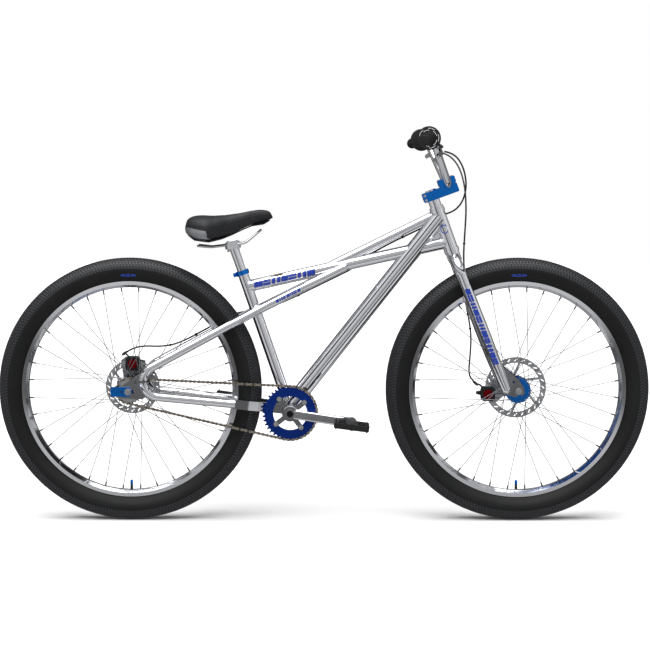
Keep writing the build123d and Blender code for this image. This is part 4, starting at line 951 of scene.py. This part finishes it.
KNOB_RADIUS, CRANK_CAP_RADIUS, NIPPLES_START = 14.2, 9.5, 287.0
give_finish("saddle_base", black_plastic)
finish_brake("front", FRONT_X - 82, AXLE_Z - 19, 26.05)
finish_brake("rear", REAR_X + 1, AXLE_Z + 69, 40.05)
finish_cranks()
finish_spokes("front", FRONT_X)
finish_spokes("rear", REAR_X)

# ---- a pale floor and soft light
floor_look = Look("studio_floor", "#f6f6f6", 0.0, 0.75)
floor_look.bump(floor_look.noise(3, 2), 0.0005, 0.1)
FLOOR_HALF = 15000
floor = mesh_piece("floor", [(-FLOOR_HALF, -FLOOR_HALF, 0), (FLOOR_HALF, -FLOOR_HALF, 0),
                             (FLOOR_HALF, FLOOR_HALF, 0), (-FLOOR_HALF, FLOOR_HALF, 0)], [(0, 1, 2, 3)])
floor.data.materials.append(floor_look.material)
floor.visible_glossy = False

# the surroundings that the metal reflects: bright panels with dark gaps, and dimmer behind the bike
world = bpy.data.worlds.new("studio")
world.use_nodes = True
sky = world.node_tree
direction = sky.nodes.new("ShaderNodeTexCoord").outputs["Generated"]
parts = sky.nodes.new("ShaderNodeSeparateXYZ")
sky.links.new(direction, parts.inputs[0])
ramp = sky.nodes.new("ShaderNodeValToRGB")
ramp.color_ramp.interpolation = "LINEAR"
LEVELS = (
    (0.00, 0.70), (0.10, 0.50), (0.16, 0.90), (0.22, 0.85), (0.24, 0.06), (0.30, 0.08), (0.31, 0.75), (0.39, 0.62),
    (0.41, 0.10), (0.445, 0.12), (0.47, 0.62), (0.495, 0.48), (0.53, 0.42), (0.55, 0.66), (0.585, 0.90),
    (0.592, 0.22), (0.603, 0.22), (0.61, 0.92), (0.66, 0.88),
    (0.672, 0.05), (0.735, 0.05), (0.75, 1.0), (0.84, 0.80), (0.855, 0.14), (0.885, 0.14), (0.90, 0.90), (1.00, 0.95),
)
marks = ramp.color_ramp.elements
while len(marks) > 1:
    marks.remove(marks[-1])
for k, (at, level) in enumerate(LEVELS):
    mark = marks[0] if k == 0 else marks.new(at)
    mark.position = at
    mark.color = (level, level, level * 1.01, 1)
height = sky.nodes.new("ShaderNodeMapRange")
height.inputs[1].default_value = -1
sky.links.new(parts.outputs[2], height.inputs[0])
sky.links.new(height.outputs[0], ramp.inputs[0])
behind = sky.nodes.new("ShaderNodeMapRange")
for k, value in ((1, -0.3), (2, 0.8), (3, 1.0), (4, 0.34)):
    behind.inputs[k].default_value = value
sky.links.new(parts.outputs[1], behind.inputs[0])
shade = sky.nodes.new("ShaderNodeMix")
shade.data_type = "RGBA"
shade.blend_type = "MULTIPLY"
shade.inputs[0].default_value = 1.0
sky.links.new(ramp.outputs[0], shade.inputs[6])
sky.links.new(behind.outputs[0], shade.inputs[7])
sky.links.new(shade.outputs[2], sky.nodes["Background"].inputs["Color"])
sky.nodes["Background"].inputs["Strength"].default_value = 0.95
scene.world = world

# a plain white backdrop all round, which the metal doesn't reflect
BACKDROP_RADIUS = 14000
half_circle = [(-BACKDROP_RADIUS * cos(pi * k / 24), BACKDROP_RADIUS * sin(pi * k / 24)) for k in range(25)]
backdrop = mesh_piece("backdrop", *lathe(half_circle, (0, 0, 0), (0, 0, 1), (1, 0, 0), 48))
white = bpy.data.materials.new("backdrop_white")
white.use_nodes = True
white.node_tree.nodes.remove(white.node_tree.nodes["Principled BSDF"])
glow = white.node_tree.nodes.new("ShaderNodeEmission")
glow.inputs["Strength"].default_value = 1.0
white.node_tree.links.new(glow.outputs[0], white.node_tree.nodes["Material Output"].inputs["Surface"])
backdrop.data.materials.append(white)
for kind in ("diffuse", "glossy", "transmission", "volume_scatter", "shadow"):
    setattr(backdrop, f"visible_{kind}", False)

sun_data = bpy.data.lights.new("overhead", "SUN")
sun_data.energy = 3.7
sun_data.angle = radians(70)
sun = bpy.data.objects.new("overhead", sun_data)
scene.collection.objects.link(sun)
sun.rotation_euler = (radians(14), radians(-8), 0)

scene.view_settings.view_transform = "Standard"
scene.view_settings.look = "None"
